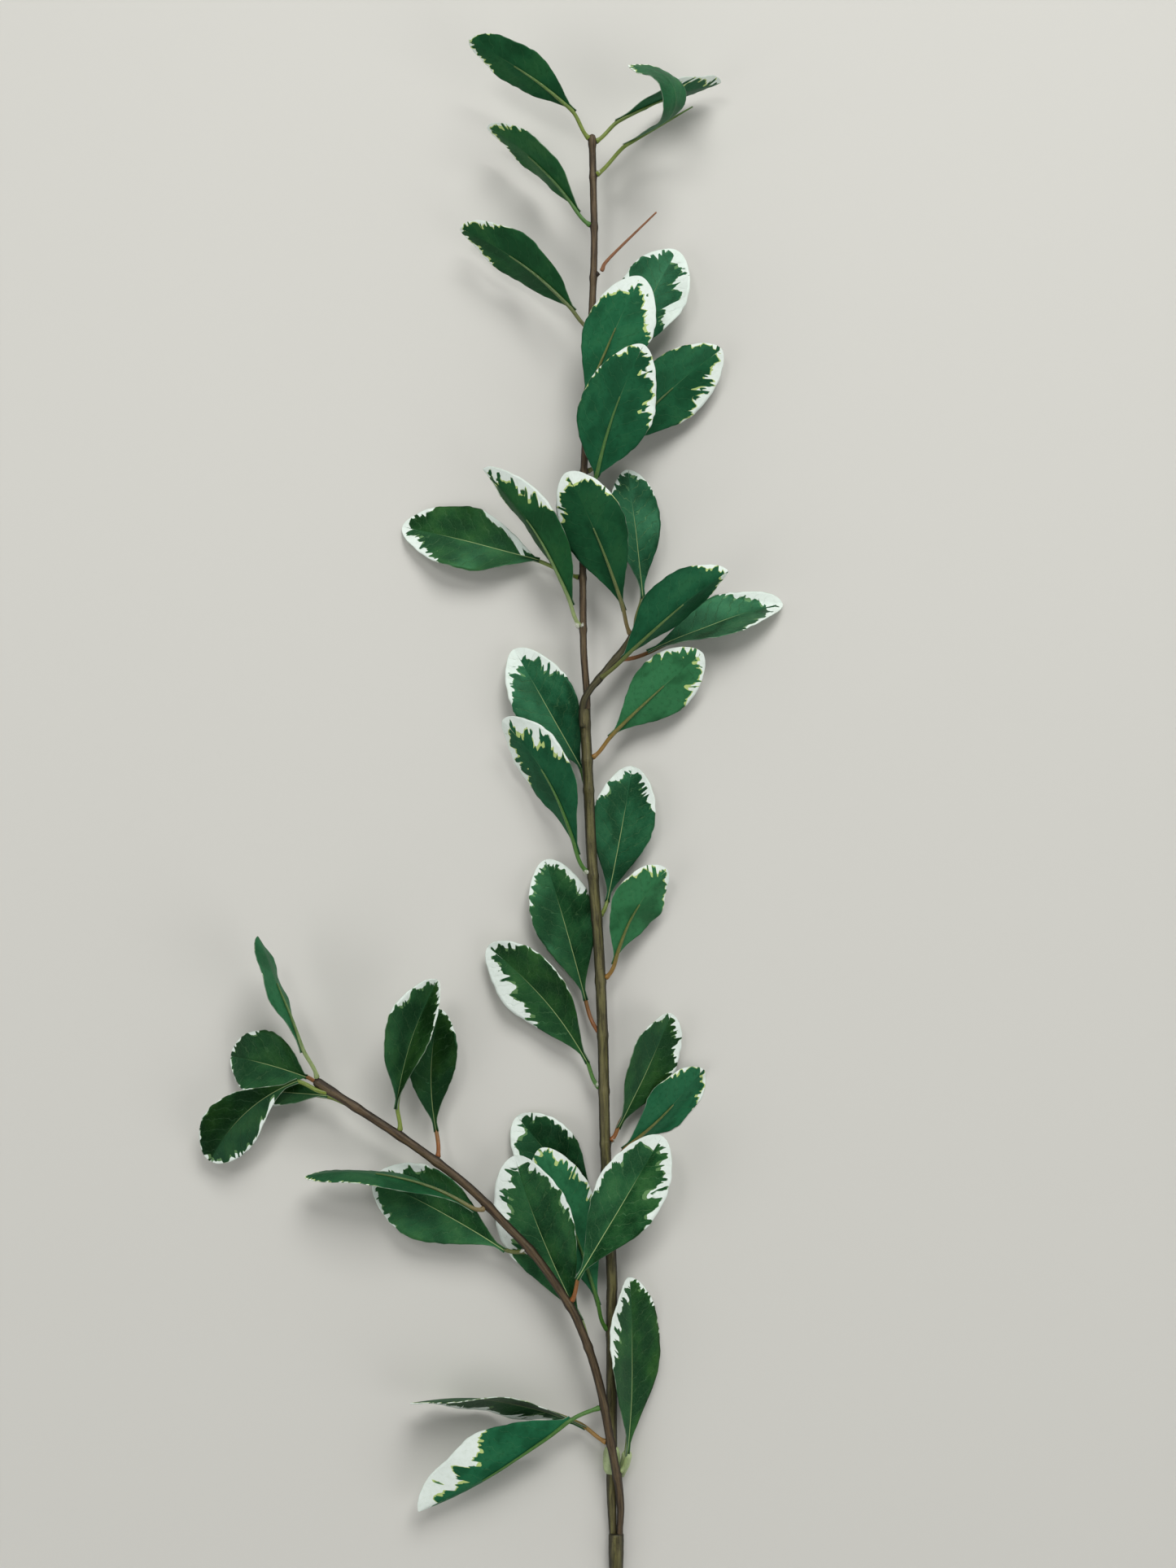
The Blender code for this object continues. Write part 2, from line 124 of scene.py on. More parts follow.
DROP_BUMPS = 1.1
DROP_LOW = (0.6, 0.6, 0.5)
DROP_HIGH = (1.25, 1.25, 0.9)
DROP_SEED = 5
DROPS_AT_A_JOINT = 4
DROP_SPREAD = 0.9
DROP_OUT = 0.7
DRAW_SEED = 11
PLAIN_DROP = 0.55

# Stage and node trees, in metres

WELD = 0.00001
WORLD_REACH = 10.0
FLOOR_SIZE = 24.0
CAMERA_PLACE = (-0.01294, 0.28747)
LIGHTS = (
    ("key", (0.6, 2.3, 2.1), 0.3, 1.4, "key_power"),
    ("left fill", (-1.8, -0.4, 1.5), 0.2, 1.6, "fill_power"),
    ("right fill", (1.8, -0.6, 1.5), 0.2, 1.6, "fill_power"),
    ("sheen", (-0.5, 0.95, 1.6), 0.3, 0.4, "sheen_power"),
)


# Leaves, routes of the stems and tints

class Leaf(NamedTuple):
    """One leaf: its root, ends, form and print. Left and right are as seen from base to tip."""

    name: str
    at: float
    base: tuple
    tip: tuple
    width: float
    up: str = "back"
    roll: float = 0.0
    bend: float = 10.0
    sweep: float = 0.0
    fold: float = 12.0
    twist: float = 0.0
    curl: float = 0.0
    widest: float = 0.62
    spine: tuple = None
    stalk: str = "lime"
    pale: tuple = (2.0, 2.0, 3.0)
    start: float = 0.45
    patch: tuple = (0.0, 0.1, 0.0)
    tone: float = 0.4
    glow: float = 1.0
    veins: float = 0.3

    @property
    def stem(self):
        return self.name.split("_")[0]


ROUTES = {
    "main": (
        (-1.4, 7, 3.5), (-1.6, 14, 3.7), (-2, 26, 4.6), (-2, 50, 5.0), (-2, 79, 5.4), (-2, 116, 6.4),
        (-2, 130, 6.9), (-5, 190, 8.8), (-6, 235, 10.0), (-8, 280, 11.3), (-11, 318, 12.3),
        (-13, 360, 13.4), (-14.5, 387, 14.0),
    ),
    "upper": (
        (-13.8, 382, 12.4), (-13.4, 389, 12.6), (-13.6, 399, 13.4), (-15, 418, 14.8),
        (-15.3, 441, 15.8), (-15.4, 465, 16.6), (-15, 500, 18.0), (-13, 540, 19.4), (-11, 580, 21.0),
        (-10, 611, 22.4), (-10.4, 636, 23.6), (-11, 662, 25.0),
    ),
    "twig": (
        (-15.4, 382, 16.4), (-15.5, 389, 16.6), (-14.8, 394, 17.2), (-12, 399, 17.2), (-8, 404, 16.6),
        (-2.5, 411, 15.8), (1, 415, 15.4), (10, 427, 15.2),
    ),
    "side": (
        (1.5, 7, 4.6), (1.7, 14, 5.2), (2.0, 23, 6.6), (1, 34, 9.4), (-1, 45, 11.6), (-3, 56, 12.8),
        (-5, 67, 13.4), (-7.5, 79, 14.0), (-11.5, 93, 15.0), (-16.5, 106, 15.8), (-21.5, 116, 16.4),
        (-36, 137, 17.6), (-51, 153, 18.4), (-68, 170, 19.3), (-92, 188, 20.0), (-115, 203, 20.2),
        (-137, 217, 20.2),
    ),
}
BARE_STALK = ((-6.4, 598, 23.4), (-2.6, 603.5, 25.0), (19, 623, 31.0))
BARE_AT = 595.0

LEAVES = (
    Leaf("upper_leaf_01", 660, (-19, 673, 28), (-69, 704, 36), 22, roll=-50, bend=-5, sweep=-18,
         widest=0.57, pale=(1.5, 0.1, 0.5), start=0.66, tone=0.3, glow=0.9),
    Leaf("upper_leaf_02", 659, (0, 671, 23), (51, 694, 14), 24, roll=94, bend=-16,
         pale=(2.6, 0.1, 0.6), tone=0.6),
    Leaf("upper_leaf_03", 643, (4, 658, 27), (6, 687, 47), 21, roll=62, bend=5, fold=4, curl=144,
         spine=(36, 672, 36), pale=(0.2, 0.2, 0.8), start=0.7, glow=1.2),
    Leaf("upper_leaf_04", 619, (-17, 626, 23), (-61, 669, 20), 23, roll=-70, bend=-20, sweep=-20,
         widest=0.54, stalk="green", pale=(1.6, 1.1, 1.6), start=0.64, tone=0.1, glow=1.1),
    Leaf("upper_leaf_05", 570, (-19, 579, 21), (-74, 621, 16), 26, roll=-54, bend=-8, sweep=-24,
         widest=0.54, stalk="olive", pale=(1.4, 1.2, 1.0), start=0.6, tone=0.1, glow=0.85),
    Leaf("upper_leaf_06", 541, (1, 552, 14), (30, 613, 8), 33, up="front", sweep=8,
         pale=(0.9, 5.0, 3.8), start=0.36, tone=1.0, glow=0.9),
    Leaf("upper_leaf_07", 522, (-15, 530, 27), (12, 593, 29), 34, roll=-12, bend=14, sweep=4,
         stalk="amber", pale=(1.0, 5.8, 7.5), start=0.56, tone=0.7, glow=1.15),
    Leaf("upper_leaf_08", 490, (-9, 498, 26), (13, 558, 36), 36, sweep=16, widest=0.5,
         stalk="green", pale=(0.3, 3.4, 1.7), start=0.4, tone=0.7, glow=0.9),
    Leaf("upper_leaf_09", 502, (-4, 511, 15), (51, 564, 10), 32, roll=10, sweep=14, stalk="olive",
         pale=(0.3, 4.4, 1.4), start=0.46, tone=0.6, glow=0.95),
    Leaf("upper_leaf_10", 452, (-36, 462, 9), (-102, 480, 0.4), 33, up="front", roll=12,
         widest=0.55, pale=(4.0, 0.3, 2.8), start=0.6, patch=(0.27, 0.22, 3.6), tone=0.1,
         glow=0.95),
    Leaf("upper_leaf_11", 428, (-20, 439, 17), (-62, 502, 25), 30, roll=-60, bend=-14, sweep=-26,
         fold=28, widest=0.54, stalk="pale", pale=(0.3, 5.6, 5.0), start=0.5, tone=0.1, glow=0.95),
    Leaf("twig_leaf_1", 424, (4, 436, 19), (-23, 498, 35), 31, roll=-8, sweep=-12, stalk="tan",
         pale=(3.4, 1.6, 3.6), start=0.62, glow=0.7),
    Leaf("twig_leaf_2", 430, (13, 443, 13), (6, 506, 7), 25, up="front", roll=14, stalk="olive",
         pale=(0.8, 1.2, 1.6), start=0.72, tone=1.0, glow=0.85, veins=1.0),
    Leaf("twig_leaf_3", 404, (3, 413, 22), (52, 453, 29), 34, roll=36, bend=16, sweep=22, fold=44,
         widest=0.56, stalk="olive", pale=(1.8, 0.8, 1.6), start=0.74, tone=0.7, glow=0.8),
    Leaf("twig_leaf_4", 414, (15, 418, 10), (80, 443, 0.3), 28, up="front", roll=-36, sweep=6,
         fold=20, stalk="orange", pale=(2.8, 1.8, 8.5), start=0.55, tone=0.8, glow=1.05),
    Leaf("main_leaf_01", 366, (-3, 377, 13), (41, 417, 13), 29, roll=12, sweep=8, stalk="amber",
         pale=(1.8, 2.4, 2.4), start=0.56, tone=1.4),
    Leaf("main_leaf_02", 352, (-16, 363, 7), (-48, 420, 5), 31, up="front", widest=0.56,
         stalk="green", pale=(4.0, 3.4, 6.4), start=0.58, tone=1.0, glow=1.05),
    Leaf("main_leaf_03", 312, (-17.5, 322, 13), (-53, 385, 14), 31, roll=-44, bend=0, sweep=-42,
         stalk="green", pale=(4.0, 4.6, 6.2), start=0.5, tone=0.7, glow=0.9),
    Leaf("main_leaf_04", 292, (-4, 300, 6), (8, 364, 6), 30, up="front", sweep=-3,
         pale=(1.8, 3.2, 4.0), start=0.6, tone=0.9),
    Leaf("main_leaf_05", 263, (-1, 271, 12), (24, 315, 14), 27, roll=30, sweep=44, stalk="amber",
         pale=(1.6, 0.8, 1.8), start=0.6, tone=1.4),
    Leaf("main_leaf_06", 238, (-14, 254, 6), (-33, 320, 4), 30, up="front", sweep=-3,
         stalk="orange", pale=(1.6, 3.0, 1.6), start=0.6, glow=0.85),
    Leaf("main_leaf_07", 212, (-13, 225, 8), (-60, 279, 6), 31, up="front", roll=-18, sweep=-30,
         stalk="green", pale=(6.6, 0.5, 3.4), start=0.36, tone=0.0, glow=0.95),
    Leaf("main_leaf_08", 188, (1, 195, 9), (26, 248, 9), 26, up="front", roll=28, stalk="orange",
         pale=(0.2, 2.6, 1.6), tone=0.0, glow=0.75),
    Leaf("main_leaf_09", 175, (3, 185, 5), (41, 222, 4), 26, roll=34, sweep=-10, stalk="orange",
         pale=(0.8, 1.2, 1.0), start=0.6, tone=1.1),
    Leaf("main_leaf_10", 150, (-8, 159, 4), (-46, 200, 2), 30, up="front", sweep=8, stalk="green",
         pale=(3.6, 1.6, 2.0), tone=0.5, glow=0.65),
    Leaf("main_leaf_11", 101, (-8, 114, 8), (-35, 186, 9.5), 29, roll=6, sweep=-8, stalk="green",
         pale=(0.5, 2.2, 1.0), start=0.5, tone=1.2, glow=1.2),
    Leaf("side_leaf_01", 97, (-16, 108, 11), (-47, 183, 12.5), 37, up="front", roll=-14, sweep=10,
         stalk="pale", pale=(7.4, 1.4, 5.0), start=0.42, tone=0.3),
    Leaf("side_leaf_02", 116, (-18, 128, 19), (21, 193, 22), 32, up="front", stalk="orange",
         pale=(3.2, 3.6, 4.6), tone=0.35, glow=1.1),
    Leaf("side_leaf_03", 38, (5, 47, 10), (6, 127, 8), 30, up="front", roll=38, sweep=-6,
         stalk="pale", pale=(5.4, 0.3, 1.4), start=0.48, tone=0.0, glow=0.85),
    Leaf("side_leaf_04", 70, (-21, 66, 18), (-90, 23, 13), 41, roll=-40, bend=20, fold=44,
         widest=0.52, stalk="green", pale=(0.4, 8.4, 6.5), start=0.4, tone=0.8, glow=1.2),
    Leaf("side_leaf_05", 53, (-14, 59, 9), (-94, 72, 16), 28, up="front", roll=-60, bend=-30,
         sweep=-20, twist=-40, stalk="amber", pale=(3.0, 0.3, 0.8), start=0.1, tone=0.1, glow=0.8),
    Leaf("side_leaf_06", 141, (-51, 140, 14), (-113, 171, 3), 34, up="front", sweep=-12,
         stalk="olive", pale=(1.0, 3.2, 3.0), start=0.6, tone=0.2, glow=1.05),
    Leaf("side_leaf_07", 161, (-65, 159, 22), (-143, 174, 17), 22, roll=78, bend=46, stalk="tan",
         pale=(0.3, 0.3, 0.5)),
    Leaf("side_leaf_08", 193, (-101, 205, 20), (-82, 264, 24), 34, up="front", roll=-12, sweep=20,
         fold=50, pale=(1.8, 1.4, 2.2), start=0.55, tone=0.1, glow=0.8),
    Leaf("side_leaf_09", 181, (-83, 194, 13), (-82, 250, 8), 24, up="front", sweep=26,
         stalk="orange", pale=(0.2, 0.6, 0.6), start=0.7, tone=0.0, glow=0.5),
    Leaf("side_leaf_10", 217, (-144, 231, 23), (-164, 284, 30), 20, roll=76, bend=4, stalk="pale",
         pale=(0.1, 0.1, 0.1), tone=1.25, glow=0.9),
    Leaf("side_leaf_11", 216, (-143, 219, 13), (-180, 228, 4), 31, up="front", bend=40, sweep=-14,
         widest=0.54, stalk="orange", pale=(0.4, 0.6, 0.5), start=0.5, tone=0.1, glow=0.85),
    Leaf("side_leaf_12", 213, (-146, 218, 22), (-188, 180, 8), 27, up="front", sweep=-42,
         widest=0.66, pale=(1.0, 0.4, 0.8), start=0.1, tone=0.0, glow=0.5),
    Leaf("side_leaf_13", 206, (-134, 210, 9), (-172, 212, 2), 16, up="front", roll=30,
         pale=(1.0, 1.0, 1.0), tone=0.1, glow=0.8),
)

STALK_TINTS = {
    "lime": (0.20, 0.27, 0.035),
    "green": (0.06, 0.19, 0.02),
    "pale": (0.30, 0.38, 0.15),
    "olive": (0.12, 0.13, 0.025),
    "tan": (0.22, 0.16, 0.06),
    "amber": (0.30, 0.15, 0.02),
    "orange": (0.28, 0.09, 0.015),
    "rust": (0.29, 0.12, 0.05),
}
COLLAR_PARTS = (
    (((-2, 39.5, 4.8), (-2, 43.5, 4.9), (-2, 47.5, 5.0)), (3.8, 4.1, 3.8)),
    (((2.8, 36.5, 4.5), (4.0, 42.0, 6.3), (4.9, 47.0, 8.0)), (0.9, 2.2, 2.4)),
)
COLLAR_TINT = (0.42, 0.52, 0.25)
GLUED = {
    "upper_leaf_11": 1.5, "main_leaf_03": 1.7, "main_leaf_07": 1.7, "side_leaf_06": 1.5,
    "main_leaf_08": 1.2, "upper_leaf_03": 1.1,
}


# Curves and forms

def ramp(value, low, span):
    """0 up to low and 1 from low + span on, straight between them."""
    return min(max((value - low) / span, 0.0), 1.0)


def eased(share):
    """The share with a smooth start and end."""
    return share * share * (3 - 2 * share)


def spline(route):
    """Points of a smooth curve through the route's own points, close together."""
    points = [Vector(p) for p in route]
    ends = [points[0] * 2 - points[1]] + points + [points[-1] * 2 - points[-2]]
    out = []
    for a, b, c, d in zip(ends, ends[1:], ends[2:], ends[3:]):
        for i in range(CURVE_STEPS):
            t = i / CURVE_STEPS
            out.append(
                0.5 * (2 * b + (c - a) * t + (2 * a - 5 * b + 4 * c - d) * t * t
                       + (3 * b - a - 3 * c + d) * t ** 3)
            )
    return out + [points[-1]]


CURVES = {stem: spline(route) for stem, route in ROUTES.items()}


def place_on(stem, at):
    """Centre point and direction of a stem at a distance up the spray."""
    points = CURVES[stem]
    for a, b in zip(points, points[1:]):
        if a.y <= at <= b.y:
            share = (at - a.y) / max(b.y - a.y, 1e-6)
            return a.lerp(b, share), (b - a).normalized()
    return points[-1].copy(), (points[-1] - points[-2]).normalized()


def radius_at(stem, at):
    """A stem's radius at a distance up the spray: the two long ones thin into the sleeve."""
    full = RADII[stem]
    thin = FOOT_RADII.get(stem, full)
    return thin + (full - thin) * ramp(at, MOUTH_Y, FOOT_TAPER)


def half_width(leaf, s):
    """Half the blade's width at a share s of its length. Each leaf says where it is widest."""
    power = math.log(0.5) / math.log(leaf.widest)
    swell = max(math.sin(math.pi * min(s, 1.0) ** power), 0.0) ** (1.05 - 0.5 * s)
    end = BLADE_BASE_HALF * (1 - s) ** 2 + BLADE_TIP_HALF * s ** 8
    return max(leaf.width / 2 * swell, end)


class Form:
    """The blade's curved middle line and the frame that its width lies in."""

    def __init__(self, leaf):
        self.leaf = leaf
        base, tip = Vector(leaf.base), Vector(leaf.tip)
        along = (tip - base).normalized()
        level = (Vector((0, 0, 1)) - along * along.z).normalized()
        right = along.cross(level)
        lean = math.radians(leaf.roll)
        self.normal = level * math.cos(lean) + right * math.sin(lean)
        left = self.normal.cross(along)
        raw, point = [Vector((0, 0, 0))], Vector((0, 0, 0))
        for i in range(SPINE_SAMPLES):
            s = (i + 0.5) / SPINE_SAMPLES
            turn = eased(ramp(s, CURL_FROM, CURL_OVER))
            pitch = math.radians(leaf.bend * (0.5 - s) - leaf.curl * turn)
            yaw = math.radians(leaf.sweep * (0.5 - s))
            point = point + Vector(
                (math.cos(pitch) * math.cos(yaw), math.cos(pitch) * math.sin(yaw), math.sin(pitch))
            )
            raw.append(point)
        chord = raw[-1]
        straighten = chord.rotation_difference(Vector((1, 0, 0)))
        scale = (tip - base).length / chord.length
        self.length = SPINE_SAMPLES * scale
        local = [straighten @ p * scale for p in raw]
        self.line = [base + along * p.x + left * p.y + self.normal * p.z for p in local]
        draw = random.Random(leaf.name)
        self.seed = draw.random()
        self.waves = [(draw.uniform(10, 19), draw.uniform(0, FULL_TURN)) for _ in range(4)]

    def rise(self, s, t, wave):
        """How far the sheet stands off the middle line at share s and side -1 to 1."""
        up = 1 if self.leaf.up == "front" else -1
        half = half_width(self.leaf, s)
        body = min(1.0, half / 8)
        (k1, p1), (k2, p2), (k3, p3), (k4, p4) = self.waves
        edge_wave = math.sin(k1 * s + p1) if t > 0 else math.sin(k2 * s + p2)
        run = s * self.length - abs(half * t) * VEIN_LEAN
        return (
            up * half * (math.sqrt(t * t + 0.04) - 0.2) * math.sin(math.radians(self.leaf.fold))
            + wave * abs(t) ** 2.2 * edge_wave * body
            + 0.5 * wave * math.sin(k3 * s + p3) * math.cos(2.4 * t + p4) * body * abs(t)
            + 0.3 * wave * math.sin(0.7 * k4 * s + p4) * body
            + 0.10 * math.cos(2 * math.pi * run / VEIN_GAP) * body * abs(t)
            - up * 0.3 * math.exp(-(half * t / 0.9) ** 2) * (1 - s) * body
        )

    def frame(self, s):
        """Point, direction, right side and upper side of the blade at share s."""
        place = min(max(s, 0.0), 1.0) * SPINE_SAMPLES
        i = min(int(place), SPINE_SAMPLES - 1)
        before, after = max(i - 1, 0), min(i + 2, SPINE_SAMPLES)
        tangent = (self.line[after] - self.line[before]).normalized()
        point = self.line[i].lerp(self.line[i + 1], place - i)
        upper = (self.normal - tangent * self.normal.dot(tangent)).normalized()
        upper = Matrix.Rotation(math.radians(self.leaf.twist * (s - 0.5)), 3, tangent) @ upper
        return point, tangent, tangent.cross(upper), upper


def root_of(leaf):
    """Centre of the stem where the stalk grows, and the way its nub points."""
    centre, tangent = place_on(leaf.stem, leaf.at)
    to_base = (Vector(leaf.base) - centre).normalized()
    outward = to_base - tangent * to_base.dot(tangent)
    heading = (to_base + outward.normalized() * 0.5).normalized()
    return centre, heading


def rib_point(form, s, radius, wave):
    """Centre of the rib, which stands on the back of the blade."""
    middle, _, _, upper = form.frame(s)
    under = -1 if form.leaf.up == "front" else 1
    return middle + upper * (form.rise(s, 0.0, wave) + under * (RIB_STAND * radius + RIB_CLEAR))


def stalk_line(leaf, form, wave):
    """The stalk's path from its nub to the blade, then up the blade's back as its rib."""
    centre, heading = root_of(leaf)
    start = centre + heading * (radius_at(leaf.stem, leaf.at) + NUB_RISE * 0.45)
    _, tangent, _, _ = form.frame(STALK_FROM)
    base = rib_point(form, STALK_FROM, STALK_RADIUS, wave)
    reach = (base - start).length
    points, radii = [], []
    for i in range(STALK_STEPS):
        t = i / STALK_STEPS
        a = 2 * t ** 3 - 3 * t * t + 1
        b = t ** 3 - 2 * t * t + t
        c = 3 * t * t - 2 * t ** 3
        d = t ** 3 - t * t
        points.append(start * a + heading * (reach * b) + base * c + tangent * (reach * d))
        flare = STALK_FLARE * math.exp(-(t * reach / STALK_FLARE_REACH) ** 2)
        radii.append(STALK_RADIUS * (1 + flare))
    for i in range(RIB_STEPS + 1):
        share = i / RIB_STEPS
        radius = STALK_RADIUS + (RIB_TIP_RADIUS - STALK_RADIUS) * share
        if leaf.spine:
            point = base.lerp(Vector(leaf.spine), share)
        else:
            point = rib_point(form, STALK_FROM + RIB_SHARE * share, radius, wave)
        points.append(point)
        radii.append(radius)
    return points, radii


def rounded_ends(points, radii):
    """The path with two more points past each end, where the tube closes in a dome."""
    first = (points[0] - points[1]).normalized() * radii[0]
    last = (points[-1] - points[-2]).normalized() * radii[-1]
    points = [points[0] + first * 0.6, points[0] + first * 0.38] + points
    points = points + [points[-1] + last * 0.5, points[-1] + last * 0.8]
    radii = [radii[0] * 0.35, radii[0] * 0.8] + radii + [radii[-1] * 0.8, radii[-1] * 0.35]
    return points, radii


# Node trees written as expressions

class Wire:
    """One output of a node tree. The usual operators on it add Math nodes."""

    def __init__(self, graph, socket):
        self.graph = graph
        self.socket = socket

    def math(self, operation, *others):
        inputs = dict(enumerate((self, *others)))
        return self.graph.add("ShaderNodeMath", {"operation": operation}, inputs)

    def reflected(self, operation, other):
        return self.graph.add("ShaderNodeMath", {"operation": operation}, {0: other, 1: self})

    def __add__(self, other):
        return self.math("ADD", other)

    __radd__ = __add__

    def __sub__(self, other):
        return self.math("SUBTRACT", other)

    def __rsub__(self, other):
        return self.reflected("SUBTRACT", other)

    def __mul__(self, other):
        return self.math("MULTIPLY", other)

    __rmul__ = __mul__

    def __truediv__(self, other):
        return self.math("DIVIDE", other)

    def __rtruediv__(self, other):
        return self.reflected("DIVIDE", other)

    def __pow__(self, other):
        return self.math("POWER", other)

    def __abs__(self):
        return self.math("ABSOLUTE")

    def cosine(self):
        return self.math("COSINE")

    def most(self, other):
        return self.math("MAXIMUM", other)

    def least(self, other):
        return self.math("MINIMUM", other)

    def rise(self, low, high):
        """0 below low and 1 above high, smooth between them."""
        settings = {"interpolation_type": "SMOOTHSTEP"}
        return self.graph.add("ShaderNodeMapRange", settings, {0: self, 1: low, 2: high})


class Graph:
    """A node tree, filled by the add method and by short forms of it."""

    def __init__(self, tree):
        self.tree = tree

    def add(self, kind, settings=None, inputs=None, out=0):
        """A node of this kind, with its settings made first and then its inputs."""
        node = self.tree.nodes.new(kind)
        for name, value in (settings or {}).items():
            setattr(node, name, value)
        for key, value in (inputs or {}).items():
            socket = node.inputs[key]
            if isinstance(value, Wire):
                self.tree.links.new(value.socket, socket)
            else:
                socket.default_value = value
        return Wire(self, node.outputs[out])

    def attribute(self, name, out=1):
        return self.add("ShaderNodeAttribute", {"attribute_name": name}, out=out)

    def number(self, name):
        """The one number of a plain attribute."""
        return self.attribute(name, 2)

    def parts(self, name):
        """The three numbers of a vector attribute."""
        split = self.add("ShaderNodeSeparateXYZ", inputs={0: self.attribute(name)})
        return [Wire(self, socket) for socket in split.socket.node.outputs]

    def vector(self, x, y, z=0.0):
        return self.add("ShaderNodeCombineXYZ", inputs={0: x, 1: y, 2: z})

    def vectors(self, operation, a, b):
        return self.add("ShaderNodeVectorMath", {"operation": operation}, {0: a, 1: b})

    def scaled(self, vector, factor):
        inputs = {0: vector, "Scale": factor}
        return self.add("ShaderNodeVectorMath", {"operation": "SCALE"}, inputs)

    def noise(self, place, scale=1.0, detail=2.0, rough=0.5):
        """Noise at a place, which is a wire or two or three numbers."""
        vector = self.vector(*place) if isinstance(place, tuple) else place
        inputs = {"Vector": vector, "Scale": scale, "Detail": detail, "Roughness": rough}
        return self.add("ShaderNodeTexNoise", inputs=inputs)

    def mix(self, factor, a, b):
        """Colour a where the factor is 0 and colour b where it is 1."""
        a, b = (shade if isinstance(shade, Wire) else rgba(shade) for shade in (a, b))
        return self.add("ShaderNodeMix", {"data_type": "RGBA"}, {0: factor, 6: a, 7: b}, 2)

    def bump(self, height, distance):
        inputs = {"Height": height, "Distance": distance, "Strength": 1.0}
        return self.add("ShaderNodeBump", inputs=inputs)


def new_material(name, constants):
    """A material with these same-everywhere surface values, and the graph of its nodes."""
    material = bpy.data.materials.new(name)
    material.use_nodes = True
    shader = material.node_tree.nodes["Principled BSDF"]
    for key, value in constants.items():
        shader.inputs[key].default_value = value
    return material, Graph(material.node_tree)


def surface(material, colour, rough=None, normal=None):
    """The material, with these wires joined to its surface."""
    shader = material.node_tree.nodes["Principled BSDF"]
    for key, wire in (("Base Color", colour), ("Roughness", rough), ("Normal", normal)):
        if wire:
            material.node_tree.links.new(wire.socket, shader.inputs[key])
    return material


def rgba(colour, gain=1.0):
    return (colour[0] * gain, colour[1] * gain, colour[2] * gain, 1.0)


# Materials

